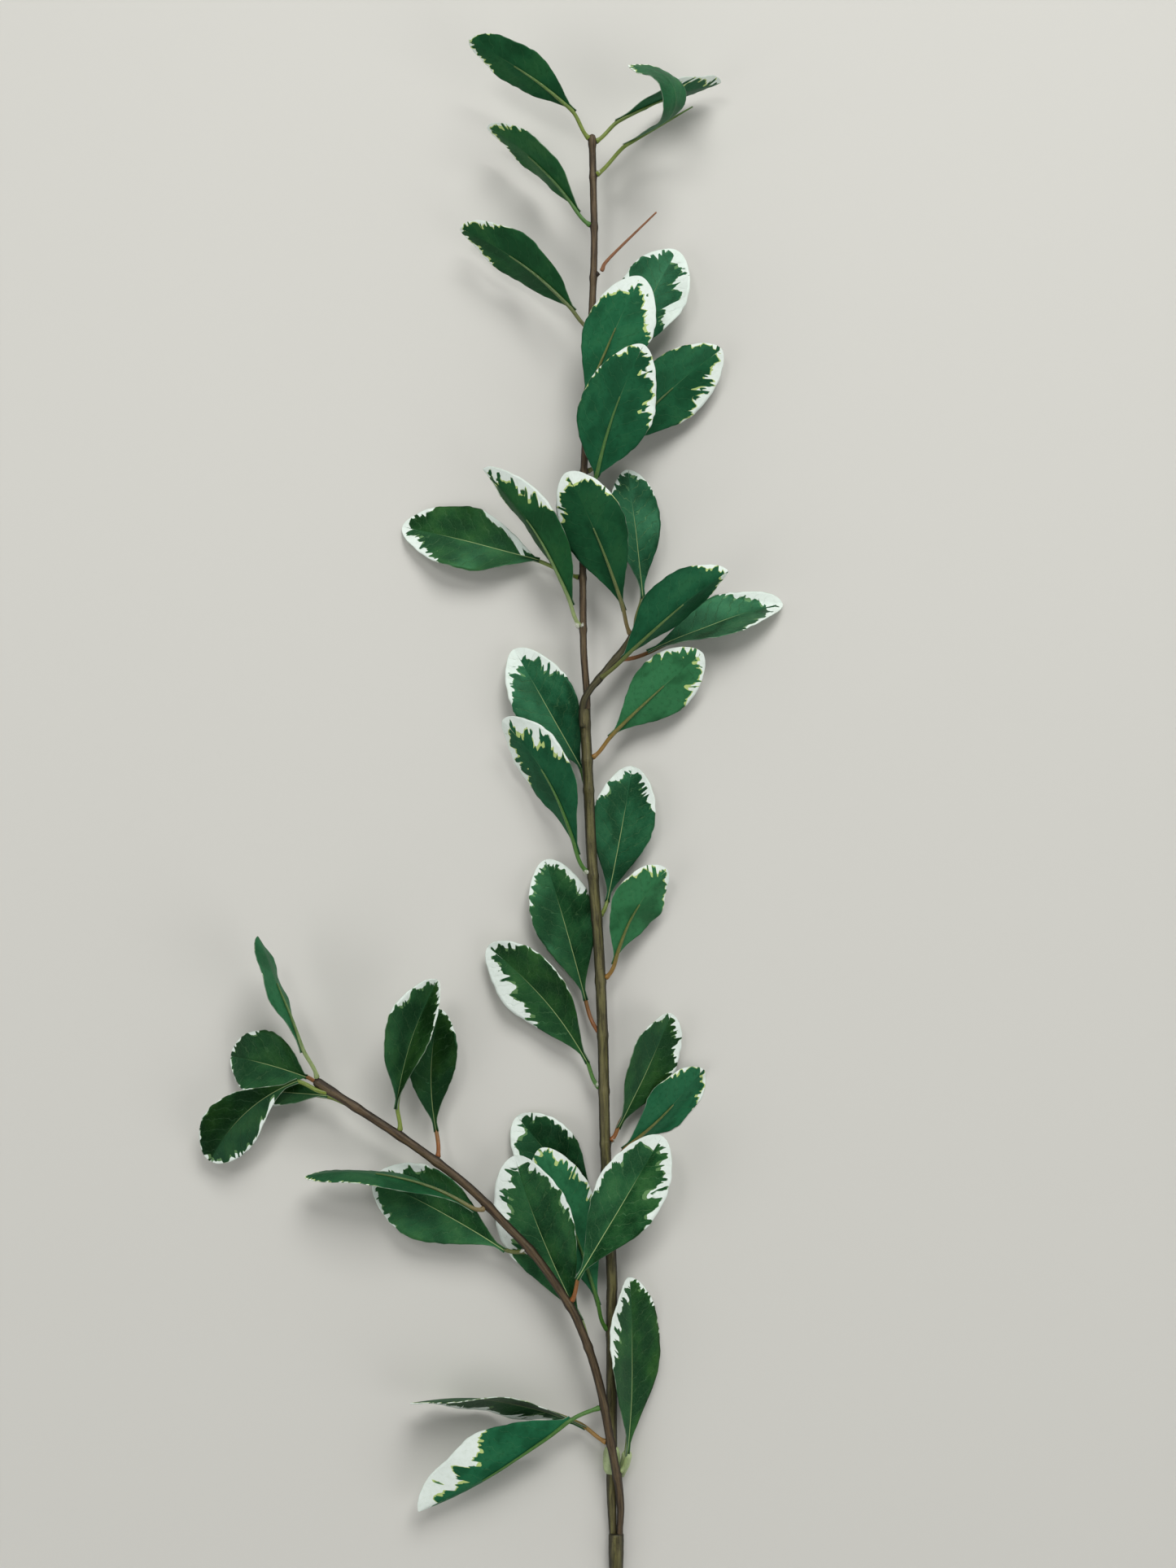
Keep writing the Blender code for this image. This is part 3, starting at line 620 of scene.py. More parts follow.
def leaf_print(looks):
    """The printed blade: green with veins, a ragged white margin and a lime fringe between, under
    patches of painted sheen and painted shade.
    """
    constants = {"Specular IOR Level": 0.25, "Specular Tint": (0.28, 1.0, 0.52, 1.0)}
    material, graph = new_material("leaf_print", constants)
    along, across, edge = graph.parts("place")
    front, seed, tone = graph.parts("look")
    left, right, tip = graph.parts("margin")
    centre, reach, depth = graph.parts("patch")
    share, start, veins = graph.parts("growth")
    side = across.rise(-0.15, 0.15)
    off = abs(across)
    run = along - off * VEIN_LEAN
    shift = seed * 61.0 + side * 17.0

    slow = graph.noise((run * 0.10 + shift, edge * 0.03), detail=1.0)
    crowd = graph.noise((run * 0.11 + shift, 5.0), detail=0.0)
    lobes = graph.noise((run * 0.17 + shift, edge * 0.06 + 3.0), detail=0.0)
    rake = run - off * 0.5 * seed
    teeth = graph.noise((rake * 0.34 + shift, edge * 0.07 + 7.0), detail=0.0)
    frays = graph.noise((along * 0.7 + shift, across * 0.7), detail=1.0)

    wide = left + (right - left) * side
    grown = wide * share.rise(start, start + 0.22)
    ending = tip * share.rise(0.74, 0.98)
    patch_side = centre.rise(-0.01, 0.01)
    same_side = 1.0 - abs(side - patch_side)
    near = 1.0 - (abs(share - abs(centre)) / reach).rise(0.55, 1.0)
    margin = grown.most(ending).most(depth * near * same_side)
    swing = margin / (margin + 1.6)
    ragged = (
        margin * (0.5 + 0.9 * slow.rise(0.3, 0.7))
        + (lobes.rise(0.36, 0.64) - 0.5) * swing * 3.0
        + (teeth.rise(0.42, 0.58) - 0.4) * swing * (0.8 + 5.0 * crowd.rise(0.44, 0.6))
        + (frays - 0.5) * 1.5 * swing
        - 0.2
    )
    gap = edge - ragged
    islands = graph.noise((run * 0.3 + shift, edge * 0.12 + 11.0), detail=0.0)
    kept = islands.rise(0.63, 0.66) * gap.rise(-2.8, -1.6) * edge.rise(1.0, 1.8)
    white = (1.0 - gap.rise(-0.1, 0.1)) * (1.0 - kept)
    tongue = teeth.rise(0.5, 0.62) * lobes.rise(0.42, 0.55) * swing
    fringe = 1.0 - (gap - tongue * 2.6 - swing * (1.0 - 0.5 * front)).rise(-0.15, 0.15)

    # Broad patches of painted light: painted sheen where this noise is high, painted shade where it
    # is low.
    painted_light_cloud = graph.noise((along * 0.06 + shift, across * 0.09))
    mottle = graph.noise((along * 0.5, across * 0.5 + shift), detail=4.0, rough=0.6)
    cool = tone.least(1.0)
    light = tone.rise(0.9, 1.5)
    front_green = graph.mix(cool, looks.front_warm, looks.front_cool)
    back_green = graph.mix(cool, looks.back_warm, looks.back_cool)
    back_green = graph.mix(light, back_green, looks.back_light)
    green = graph.mix(front, back_green, front_green)
    sheen_tint_green = graph.mix(cool, (0.07, 0.18, 0.03), (0.05, 0.20, 0.09))
    painted_sheen_green = graph.mix(0.4, green, sheen_tint_green)
    painted_shade_and_mottle_green = graph.mix(0.75, green, (0.001, 0.010, 0.001))
    # Painted sheen patches, then painted shade patches, then a darker mottle.
    green = graph.mix(painted_light_cloud.rise(0.48, 0.68) * (0.35 + 0.6 * front), green, painted_sheen_green)
    green = graph.mix((1.0 - painted_light_cloud).rise(0.47, 0.63) * (0.45 + 0.45 * front), green, painted_shade_and_mottle_green)
    green = graph.mix(mottle.rise(0.45, 0.8) * 0.5, green, painted_shade_and_mottle_green)
    # Painted shade on the right half of a front, and painted light on its left half.
    green = graph.mix(side * front * (0.1 + 0.3 * mottle), green, painted_shade_and_mottle_green)
    painted_lit_half = (1.0 - side) * front * (0.15 + 0.3 * painted_light_cloud)
    green = graph.mix(painted_lit_half, green, (0.035, 0.13, 0.062))

    wobble = graph.noise((along * 0.3 + shift, across * 0.3), detail=1.0)
    phase = (run / VEIN_GAP + wobble * 0.9) * (2 * math.pi)
    line = phase.cosine().rise(0.955, 1.0) * off.rise(0.2, 1.2) * edge.rise(0.6, 2.4)
    vein = line * (0.07 + 0.22 * front + 0.7 * veins * veins) * wobble.rise(0.22, 0.5)
    net = graph.add(
        "ShaderNodeTexVoronoi", {"feature": "DISTANCE_TO_EDGE"},
        {"Vector": graph.vector(along + shift, across), "Scale": 0.62},
    )
    web = (1.0 - net.rise(0.0, 0.09)) * 0.10
    green = graph.mix(vein * 0.6 + web * front, green, (0.12, 0.24, 0.10))

    rib_half = 0.20 - 0.17 * share
    rib = (1.0 - (off - rib_half).rise(-0.08, 0.12)) * (1.0 - share.rise(0.5, 0.8))
    green = graph.mix(rib * (0.2 + 0.7 * front), green, looks.midrib)
    green = graph.scaled(green, graph.number("glow"))

    lime = graph.mix(front, looks.fringe_back, looks.fringe_front)
    colour = graph.mix(fringe * (1.0 - kept) * (0.9 - 0.35 * front), green, lime)
    paper = graph.mix(mottle.rise(0.4, 0.75) * 0.35, looks.white, (0.62, 0.70, 0.60))
    colour = graph.mix(white, colour, paper)
    rim = 1.0 - edge.rise(0.05, 0.3)
    colour = graph.mix(rim * 0.5, colour, (0.42, 0.50, 0.38))

    rough = 0.56 - front * 0.24 + (mottle - 0.5) * 0.16 + white * 0.1
    weave = (along * 9.0 + across * 9.0).cosine() * (along * 9.0 - across * 9.0).cosine()
    height = weave * 0.012 - line * front * 0.10 + line * (1.0 - front) * 0.05 + mottle * 0.05
    height = height - rib * front * 0.12
    normal = graph.bump(height, 0.001)
    return surface(material, colour, rough, normal)


def moulded():
    """Glossy moulded stalk in the tint that the piece carries, streaked along its length."""
    material, graph = new_material("moulded_stalk", {"Specular IOR Level": 0.5})
    tint = graph.attribute("tint", 0)
    x, y, _ = graph.parts("ring")
    along = graph.number("along")
    streak = graph.noise((x, y, along * 0.25), 1.6, 3.0)
    spots = graph.noise((x * 2.0, y * 2.0, along), 1.8, 2.0)
    faded = graph.mix(graph.number("fade") * 0.9, tint, (0.06, 0.16, 0.03))
    shaded = graph.mix(0.55, faded, (0.012, 0.015, 0.004))
    shade = graph.mix(streak.rise(0.35, 0.7) * 0.6, faded, shaded)
    shade = graph.mix(spots.rise(0.6, 0.75) * 0.3, shade, (0.36, 0.34, 0.18))
    rough = 0.30 + streak * 0.25
    normal = graph.bump(streak + spots * 0.4, 0.0003)
    return surface(material, shade, rough, normal)


def bark(name, light, dark, spot):
    """Coated stem: streaks along its length, painted shade on its flanks and belly, scuffs and small
    scars.
    """
    material, graph = new_material(name, {"Specular IOR Level": 0.36})
    x, y, _ = graph.parts("ring")
    along = graph.number("along")
    lift = graph.number("lift")
    streak = graph.noise((x * 1.4, y * 1.4, along * 0.06), 1.5, 4.0, 0.6)
    patches = graph.noise((x, y, along * 0.035), 1.4, 2.0)
    scars = graph.noise((x * 1.2, y * 1.2, along * 0.9), 1.6, 3.0)
    # Painted shade on the flanks and belly, where the surface faces away from up.
    painted_flank_shade = 1.0 - lift.rise(0.4, 1.0)
    shade = graph.mix(streak.rise(0.35, 0.68), light, dark)
    shade = graph.mix(patches.rise(0.45, 0.7) * 0.3, shade, spot)
    shade = graph.mix(scars.rise(0.64, 0.76) * 0.5, shade, (0.012, 0.008, 0.005))
    shade = graph.mix(painted_flank_shade * 0.9, shade, rgba(dark, 0.25))
    shade = graph.mix(graph.number("fade"), shade, rgba(dark, 0.5))
    rough = 0.38 + streak * 0.26
    normal = graph.bump(streak * 0.7 + scars * 0.5, 0.0005)
    return surface(material, shade, rough, normal)


def glue_drop():
    """Clear set glue, slightly yellow and very glossy."""
    constants = {"Roughness": 0.06, "Alpha": 0.5, "Specular IOR Level": 0.8}
    material, graph = new_material("glue", constants)
    spot = graph.noise(graph.add("ShaderNodeTexCoord", out=3), 900.0, 2.0)
    shade = graph.mix(spot.rise(0.3, 0.7), (0.55, 0.56, 0.42), (0.85, 0.86, 0.78))
    return surface(material, shade)


def floor_paint(colour):
    material, graph = new_material("floor", {"Roughness": 0.7})
    grain = graph.noise(graph.add("ShaderNodeTexCoord", out=3), 3.0, 4.0)
    shade = graph.mix(grain * 0.12, colour, rgba(colour, 0.82))
    return surface(material, shade)


def material_of(name, make, *args):
    """The material of this name, made the first time that it is asked for."""
    return bpy.data.materials.get(name) or make(*args)


# Geometry node trees

def tree_with(name, *inputs):
    """The graph of a geometry node tree with these inputs and a material, and their wires."""
    tree = bpy.data.node_groups.new(name, "GeometryNodeTree")
    tree.interface.new_socket("Geometry", in_out="INPUT", socket_type="NodeSocketGeometry")
    tree.interface.new_socket("Geometry", in_out="OUTPUT", socket_type="NodeSocketGeometry")
    for label, kind, value in inputs:
        socket = tree.interface.new_socket(label, in_out="INPUT", socket_type="NodeSocket" + kind)
        socket.default_value = value
    tree.interface.new_socket("Material", in_out="INPUT", socket_type="NodeSocketMaterial")
    graph = Graph(tree)
    entry = tree.nodes.new("NodeGroupInput")
    return graph, [Wire(graph, socket) for socket in entry.outputs[:-1]]


def tree_end(graph, geometry, material):
    """Smooth shading, real instances, the material and the way out."""
    geometry = graph.add("GeometryNodeRealizeInstances", inputs={0: geometry})
    geometry = graph.add("GeometryNodeSetShadeSmooth", inputs={0: geometry, 2: True})
    geometry = graph.add("GeometryNodeSetMaterial", inputs={0: geometry, 2: material})
    exit_node = graph.tree.nodes.new("NodeGroupOutput")
    graph.tree.links.new(geometry.socket, exit_node.inputs[0])
    return graph.tree


def stored(graph, geometry, name, value, kind="FLOAT_VECTOR"):
    """The geometry whose points carry the value under this name."""
    settings = {"data_type": kind, "domain": "POINT"}
    inputs = {0: geometry, 2: name, 3: value}
    return graph.add("GeometryNodeStoreNamedAttribute", settings, inputs)


def named(graph, name, kind="FLOAT"):
    return graph.add("GeometryNodeInputNamedAttribute", {"data_type": kind}, {0: name})


def tube_tree():
    """A tube along a polyline whose points carry a radius and a height factor, above the floor."""
    graph, (path, sides, rough, grain, material) = tree_with(
        "Tube along a path",
        ("Sides", "Int", 16), ("Roughness", "Float", 0.0), ("Grain", "Float", 300.0),
    )
    line = graph.add("GeometryNodeMeshToCurve", inputs={0: path})
    line = stored(graph, line, "core", graph.add("GeometryNodeInputPosition"))
    length = graph.add("GeometryNodeSplineParameter", out=1)
    line = stored(graph, line, "along", length * 1000.0, "FLOAT")
    circle = {"Resolution": sides, "Radius": 1.0}
    ring = graph.add("GeometryNodeCurvePrimitiveCircle", inputs=circle)
    ring = stored(graph, ring, "ring", graph.add("GeometryNodeInputPosition"))
    tube = graph.add(
        "GeometryNodeCurveToMesh",
        inputs={0: line, 1: ring, "Scale": named(graph, "radius"), "Fill Caps": True},
    )
    core = named(graph, "core", "FLOAT_VECTOR")
    place = graph.add("GeometryNodeInputPosition")
    out = graph.vectors("SUBTRACT", place, core)
    out = graph.vectors("MULTIPLY", out, graph.vector(1.0, 1.0, named(graph, "tall")))
    normal = graph.add("GeometryNodeInputNormal")
    lift = graph.add("ShaderNodeSeparateXYZ", inputs={0: normal}, out=2)
    tube = stored(graph, tube, "lift", lift, "FLOAT")
    bumps = graph.noise(place, grain, 3.0) - 0.5
    new = graph.vectors("ADD", core, out)
    new = graph.vectors("ADD", new, graph.scaled(normal, bumps * rough))
    new = graph.vectors("MAXIMUM", new, (-WORLD_REACH, -WORLD_REACH, 0.0))
    tube = graph.add("GeometryNodeSetPosition", inputs={0: tube, 2: new})
    tube = graph.add("GeometryNodeMergeByDistance", inputs={0: tube, 2: WELD})
    return tree_end(graph, tube, material)


def peg_tree():
    """A short peg on each point, turned to the point's heading."""
    graph, (points, radius, height, material) = tree_with(
        "Pegs on points", ("Radius", "Float", 0.0012), ("Height", "Float", 0.003),
    )
    peg = graph.add(
        "GeometryNodeMeshCone",
        inputs={
            "Vertices": NUB_SIDES, "Side Segments": 3, "Radius Top": radius * NUB_TAPER,
            "Radius Bottom": radius, "Depth": height,
        },
    )
    turn = graph.add(
        "FunctionNodeAlignRotationToVector", {"axis": "Z"},
        {"Vector": named(graph, "heading", "FLOAT_VECTOR")},
    )
    pegs = graph.add(
        "GeometryNodeInstanceOnPoints", inputs={"Points": points, "Instance": peg, "Rotation": turn}
    )
    return tree_end(graph, pegs, material)


def random_vector(graph, low, high, seed):
    settings = {"data_type": "FLOAT_VECTOR"}
    return graph.add("FunctionNodeRandomValue", settings, {0: low, 1: high, "Seed": seed})


def glue_tree():
    """Uneven drops of set glue around each point."""
    graph, (points, size, seed, material) = tree_with(
        "Glue drops", ("Size", "Float", 0.0011), ("Seed", "Int", DROP_SEED),
    )
    drop = graph.add("GeometryNodeMeshIcoSphere", inputs={"Radius": 1.0, "Subdivisions": 3})
    place = graph.add("GeometryNodeInputPosition")
    bumps = graph.noise(place, 1.3, 2.0) - 0.5
    push = graph.scaled(place, bumps * DROP_BUMPS)
    drop = graph.add("GeometryNodeSetPosition", inputs={0: drop, 3: push})
    scale = random_vector(graph, DROP_LOW, DROP_HIGH, seed)
    scale = graph.scaled(scale, size * named(graph, "size"))
    spin = random_vector(graph, (0.0, 0.0, 0.0), (FULL_TURN, FULL_TURN, FULL_TURN), seed + 1.0)
    spin = graph.add("FunctionNodeEulerToRotation", inputs={0: spin})
    drops = graph.add(
        "GeometryNodeInstanceOnPoints",
        inputs={"Points": points, "Instance": drop, "Rotation": spin, "Scale": scale},
    )
    return tree_end(graph, drops, material)


def tree_of(name, make):
    return bpy.data.node_groups.get(name) or make()


def grown(obj, tree, **values):
    """The object's mesh after the tree has worked on it, kept as a plain mesh."""
    change = obj.modifiers.new("Grow", "NODES")
    change.node_group = tree
    for item in tree.interface.items_tree:
        if item.in_out == "INPUT" and item.name in values:
            change[item.identifier] = values[item.name]
    graph = bpy.context.evaluated_depsgraph_get()
    mesh = bpy.data.meshes.new_from_object(obj.evaluated_get(graph))
    obj.modifiers.remove(change)
    old = obj.data
    obj.data = mesh
    bpy.data.meshes.remove(old)
    return obj


def placed(name, data):
    """A new object of the scene with this mesh, light or camera."""
    obj = bpy.data.objects.new(name, data)
    bpy.context.scene.collection.objects.link(obj)
    return obj


def carry(mesh, name, numbers):
    """The mesh's points carry these numbers or vectors under this name."""
    numbers = np.array(numbers, dtype=np.float32)
    kind, field = ("FLOAT", "value") if numbers.ndim == 1 else ("FLOAT_VECTOR", "vector")
    layer = mesh.attributes.new(name, kind, "POINT")
    layer.data.foreach_set(field, numbers.ravel())


def point_mesh(name, points, edges=(), **values):
    """A mesh object of bare points or a polyline, whose points carry the values."""
    mesh = bpy.data.meshes.new(name)
    mesh.from_pydata([p * MM for p in points], edges, [])
    for key, numbers in values.items():
        carry(mesh, key, numbers)
    return placed(name, mesh)


def tube(name, points, radii, material, tall=None, fade=None, sides=12, rough=0.1, grain=700.0):
    """A finished tube along the points, in millimetres."""
    edges = [(i, i + 1) for i in range(len(points) - 1)]
    tall = tall or [1.0] * len(points)
    fade = fade or [0.0] * len(points)
    obj = point_mesh(name, points, edges, radius=[r * MM for r in radii], tall=tall, fade=fade)
    tree = tree_of("Tube along a path", tube_tree)
    return grown(obj, tree, Sides=sides, Roughness=rough * MM, Grain=grain, Material=material)


def settle(obj, slot, *nodes):
    """The finished piece rides with the spray and stands for its CAD nodes."""
    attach(obj, "root")
    if nodes:
        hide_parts(*nodes)
    return obj


# Pieces

def knotted(stem, at):
    """The stem's radius with a small knot at each of its pegs."""
    knots = [leaf.at for leaf in LEAVES if leaf.stem == stem]
    if stem == "upper":
        knots.append(BARE_AT)
    rise = sum(math.exp(-((at - knot) / KNOT_REACH) ** 2) for knot in knots)
    return radius_at(stem, at) + KNOT_RISE * min(rise, KNOT_LIMIT)


def build_stem(stem, node, material, looks, slot):
    """One stem with its knots. The main one ends in the wide oval of the fork."""
    points = []
    for a, b in zip(CURVES[stem], CURVES[stem][1:]):
        pieces = max(int((b - a).length / STEM_STEP), 1)
        points += [a.lerp(b, i / pieces) for i in range(pieces)]
    points.append(CURVES[stem][-1])
    radii = [knotted(stem, p.y) for p in points]
    tall = None
    if stem == "main":
        last = points[-1]
        heading = (last - points[-2]).normalized()
        points += [last + heading * step for step in FORK_STEPS]
        shares = [ramp(p.y, FORK_END_Y - FORK_LENGTH, FORK_SWELL) for p in points]
        radii += [RADII[stem]] * len(FORK_STEPS)
        radii = [r + (FORK_RADIUS - r) * s for r, s in zip(radii, shares)]
        tall = [1.0 + (FORK_TALL - 1.0) * s for s in shares]
    else:
        points, radii = rounded_ends(points, radii)
    bumps = looks.stem_bumps / MM
    dim = [STEM_DIM[stem]] * len(points)
    sides = looks.stem_sides
    obj = tube(node + "_piece", points, radii, material, tall, dim, sides, bumps, STEM_GRAIN)
    return settle(obj, slot, node)


def build_foot(material, looks):
    """The lower stem, whose mouth holds the two long stems."""
    points, radii = [], []
    for i in range(SLEEVE_STEPS + 1):
        y = FOOT_Y + (MOUTH_Y - FOOT_Y) * i / SLEEVE_STEPS
        share = eased(ramp(y, MOUTH_Y - MOUTH_LENGTH, MOUTH_SWELL))
        z = SLEEVE_CENTRE_Z + (MOUTH_CENTRE_Z - SLEEVE_CENTRE_Z) * share
        points.append(Vector((0, y, z)))
        radii.append(SLEEVE_RADIUS + (MOUTH_RADIUS - SLEEVE_RADIUS) * share)
    for step, shrink in MOUTH_LIP:
        points.append(points[SLEEVE_STEPS] + Vector((0, step, 0)))
        radii.append(MOUTH_RADIUS * shrink)
    bumps = looks.stem_bumps / MM
    obj = tube("foot", points, radii, material, None, None, looks.stem_sides, bumps, STEM_GRAIN)
    return settle(obj, "bark_olive", "stem_base")


def build_pegs(stem, material, slot):
    """Every stub on one stem that a leaf stalk plugs on."""
    roots = [(root_of(leaf), leaf.at) for leaf in LEAVES if leaf.stem == stem]
    if stem == "upper":
        centre, _ = place_on(stem, BARE_AT)
        roots.append(((centre, (Vector(BARE_STALK[0]) - centre).normalized()), BARE_AT))
    points = [centre + heading * (radius_at(stem, at) * 0.5) for (centre, heading), at in roots]
    headings = [heading for (_, heading), _ in roots]
    obj = point_mesh(stem + "_pegs", points, heading=headings)
    height = (RADII[stem] * 0.5 + NUB_RISE) * MM
    tree = tree_of("Pegs on points", peg_tree)
    obj = grown(obj, tree, Radius=NUB_RADIUS * MM, Height=height, Material=material)
    return settle(obj, slot)


def build_glue(material, looks):
    """A drop of set glue at every joint of a stalk and a stem, and more at the GLUED ones."""
    points, sizes = [], []
    draw = random.Random(DRAW_SEED)
    for leaf in LEAVES:
        big = GLUED.get(leaf.name, PLAIN_DROP)
        centre, heading = root_of(leaf)
        spot = centre + heading * (radius_at(leaf.stem, leaf.at) + DROP_OUT)
        for _ in range(DROPS_AT_A_JOINT if leaf.name in GLUED else 1):
            jitter = [draw.uniform(-DROP_SPREAD, DROP_SPREAD) * big for _ in range(3)]
            points.append(spot + Vector(jitter))
            sizes.append(big * draw.uniform(0.6, 1.0))
    obj = point_mesh("glue", points, size=sizes)
    tree = tree_of("Glue drops", glue_tree)
    obj = grown(obj, tree, Size=looks.glue_size, Seed=DROP_SEED, Material=material)
    return settle(obj, "stalk")


def tint_points(obj, colour, glow=1.0):
    """Each point of the mesh carries the colour and a brightness, for a material to read."""
    count = len(obj.data.vertices)
    carry(obj.data, "tint", [colour] * count)
    carry(obj.data, "glow", [glow] * count)


def build_bare_stalk(material):
    points = spline(BARE_STALK)
    radii = [STALK_RADIUS * (1.15 - 0.7 * i / (len(points) - 1)) for i in range(len(points))]
    points, radii = rounded_ends(points, radii)
    obj = tube("bare_stalk_piece", points, radii, material)
    tint_points(obj, STALK_TINTS["rust"])
    return settle(obj, "stalk", "bare_stalk")


def build_collar(material):
    """The pale plastic foot of one stalk: a collar round the main stem and a wedge beside it."""
    parts = []
    for route, widths in COLLAR_PARTS:
        points = spline(route)
        shares = np.linspace(0, len(route) - 1, len(points))
        radii = np.interp(shares, range(len(route)), widths).tolist()
        parts.append(tube("collar", *rounded_ends(points, radii), material))
    obj = join(*parts)
    tint_points(obj, COLLAR_TINT)
    return settle(obj, "stalk")


def edge_distance(leaf, length, flat):
    """How far each flat point lies from the nearest point of the blade's outline."""
    shares = [i / OUTLINE_SAMPLES for i in range(OUTLINE_SAMPLES + 1)]
    outline = [(s * length, side * half_width(leaf, s)) for side in (1, -1) for s in shares]
    gap = flat[:, None, :] - np.array(outline)[None, :, :]
    return np.sqrt((gap ** 2).sum(2)).min(1)


def closed_sheet(rows, columns):
    """Faces of two sheets of points, one over the other, and of the rim between them."""
    count = rows * columns
    faces = []
    for i in range(rows - 1):
        for j in range(columns - 1):
            a, b = i * columns + j, i * columns + j + 1
            c, d = a + columns, b + columns
            faces.append((a, b, d, c))
            faces.append((a + count, c + count, d + count, b + count))
    border = [(0, j) for j in range(columns)]
    border += [(i, columns - 1) for i in range(1, rows)]
    border += [(rows - 1, j) for j in range(columns - 2, -1, -1)]
    border += [(i, 0) for i in range(rows - 2, 0, -1)]
    ring = [i * columns + j for i, j in border]
    for a, b in zip(ring, ring[1:] + ring[:1]):
        faces.append((b, a, a + count, b + count))
    return faces


def build_blade(leaf, looks, material):
    """The thin closed blade and its form: a front sheet, a back sheet and the rim between."""
    form = Form(leaf)
    wave = looks.wave / MM
    shares = [1 - (1 - i / BLADE_ROWS) ** ROW_EASE for i in range(BLADE_ROWS + 1)]
    across = np.linspace(-1, 1, BLADE_COLUMNS + 1)
    narrow = math.cos(math.radians(leaf.fold))
    sheet = np.zeros((len(shares), len(across), 3))
    flat = np.zeros((len(shares), len(across), 2))
    for i, s in enumerate(shares):
        point, _, right, upper = (np.array(v) for v in form.frame(s))
        half = half_width(leaf, s)
        nibble = 0.022 * math.sin(23 * s + form.seed * FULL_TURN) + 0.018 * math.sin(41 * s)
        for j, t in enumerate(across):
            wide = half * t * (1 + math.copysign(nibble, t))
            sheet[i, j] = point + right * (wide * narrow) + upper * form.rise(s, t, wave)
            flat[i, j] = (s * form.length, half * t)
    sheet[:, :, 2] = np.maximum(sheet[:, :, 2], FLOOR_LIFT)
    edge = edge_distance(leaf, form.length, flat.reshape(-1, 2))
    d_row = np.gradient(sheet, axis=0)
    d_column = np.gradient(sheet, axis=1)
    normal = np.cross(d_column, d_row)
    normal /= np.maximum(np.linalg.norm(normal, axis=2, keepdims=True), 1e-9)
    half_thick = looks.blade_thickness / MM / 2
    top = sheet + normal * half_thick
    low = sheet - normal * half_thick
    rows, columns = len(shares), len(across)
    verts = np.concatenate([top.reshape(-1, 3), low.reshape(-1, 3)]) * MM
    mesh = bpy.data.meshes.new(leaf.name + "_blade")
    mesh.from_pydata(verts.tolist(), [], closed_sheet(rows, columns))
    share = np.tile(np.repeat(shares, columns), 2)
    front = np.repeat([leaf.up == "front", leaf.up != "front"], rows * columns)
    ones = np.ones(2 * rows * columns)
    layers = {
        "place": np.tile(np.column_stack([flat.reshape(-1, 2), edge]), (2, 1)),
        "look": np.column_stack([front, form.seed * ones, leaf.tone * ones]),
        "margin": np.tile(leaf.pale, (len(ones), 1)),
        "patch": np.tile(leaf.patch, (len(ones), 1)),
        "growth": np.column_stack([share, leaf.start * ones, leaf.veins * ones]),
        "glow": leaf.glow * ones,
    }
    for key, numbers in layers.items():
        carry(mesh, key, numbers)
    mesh.materials.append(material)
    mesh.shade_smooth()
    return placed(leaf.name + "_piece", mesh), form


def join(first, second):
    """Both objects' meshes in the first one."""
    with bpy.context.temp_override(
        active_object=first, object=first, selected_objects=[first, second],
        selected_editable_objects=[first, second],
    ):
        bpy.ops.object.join()
    return first


def build_leaf(leaf, looks, blade_material, stalk_material):
    blade, form = build_blade(leaf, looks, blade_material)
    points, radii = rounded_ends(*stalk_line(leaf, form, looks.wave / MM))
    for point, radius in zip(points, radii):
        point.z = max(point.z, radius)
    ribbed = RIB_STEPS + 3
    bare = len(points) - ribbed
    fade = [FADE_AT_BASE * (i / bare) ** 2 for i in range(bare)]
    fade += [FADE_AT_BASE + (1 - FADE_AT_BASE) * math.sqrt(i / ribbed) for i in range(ribbed)]
    stalk = tube(leaf.name + "_stalk", points, radii, stalk_material, fade=fade)
    tint_points(stalk, STALK_TINTS[leaf.stalk], leaf.glow)
    return settle(join(blade, stalk), "leaf", leaf.name)


# Stage

def soft_sky(strength):
    """A world that is pale at the horizon and dim overhead."""
    world = bpy.data.worlds.new("soft sky")
    world.use_nodes = True
    graph = Graph(world.node_tree)
    place = graph.add("ShaderNodeTexCoord")
    height = graph.add("ShaderNodeSeparateXYZ", inputs={0: place}, out=2)
    shade = graph.mix(height.rise(0.05, 0.7), (0.9, 0.92, 0.92), (0.13, 0.13, 0.13))
    background = world.node_tree.nodes["Background"]
    background.inputs["Strength"].default_value = strength
    world.node_tree.links.new(shade.socket, background.inputs["Color"])
    return world


def add_light(name, place, target, size, power):
    """A square soft light that points at the target."""
    lamp = bpy.data.lights.new(name, "AREA")
    lamp.size = size
    lamp.energy = power
    light = placed(name, lamp)
    light.location = place
    aim = Vector(target) - Vector(place)
    light.rotation_euler = aim.to_track_quat("-Z", "Y").to_euler()


# Settings

def colour_setting(name, description, default):
    return FloatVectorProperty(
        name=name, description=description, default=default, min=0.0, max=1.0, subtype="COLOR"
    )


def length_setting(name, description, default, low, high):
    return FloatProperty(
        name=name, description=description, default=default, min=low, max=high, unit="LENGTH",
        precision=5,
    )


def power_setting(name, description, default):
    return FloatProperty(
        name=name, description=description, default=default, min=0.0, unit="POWER"
    )


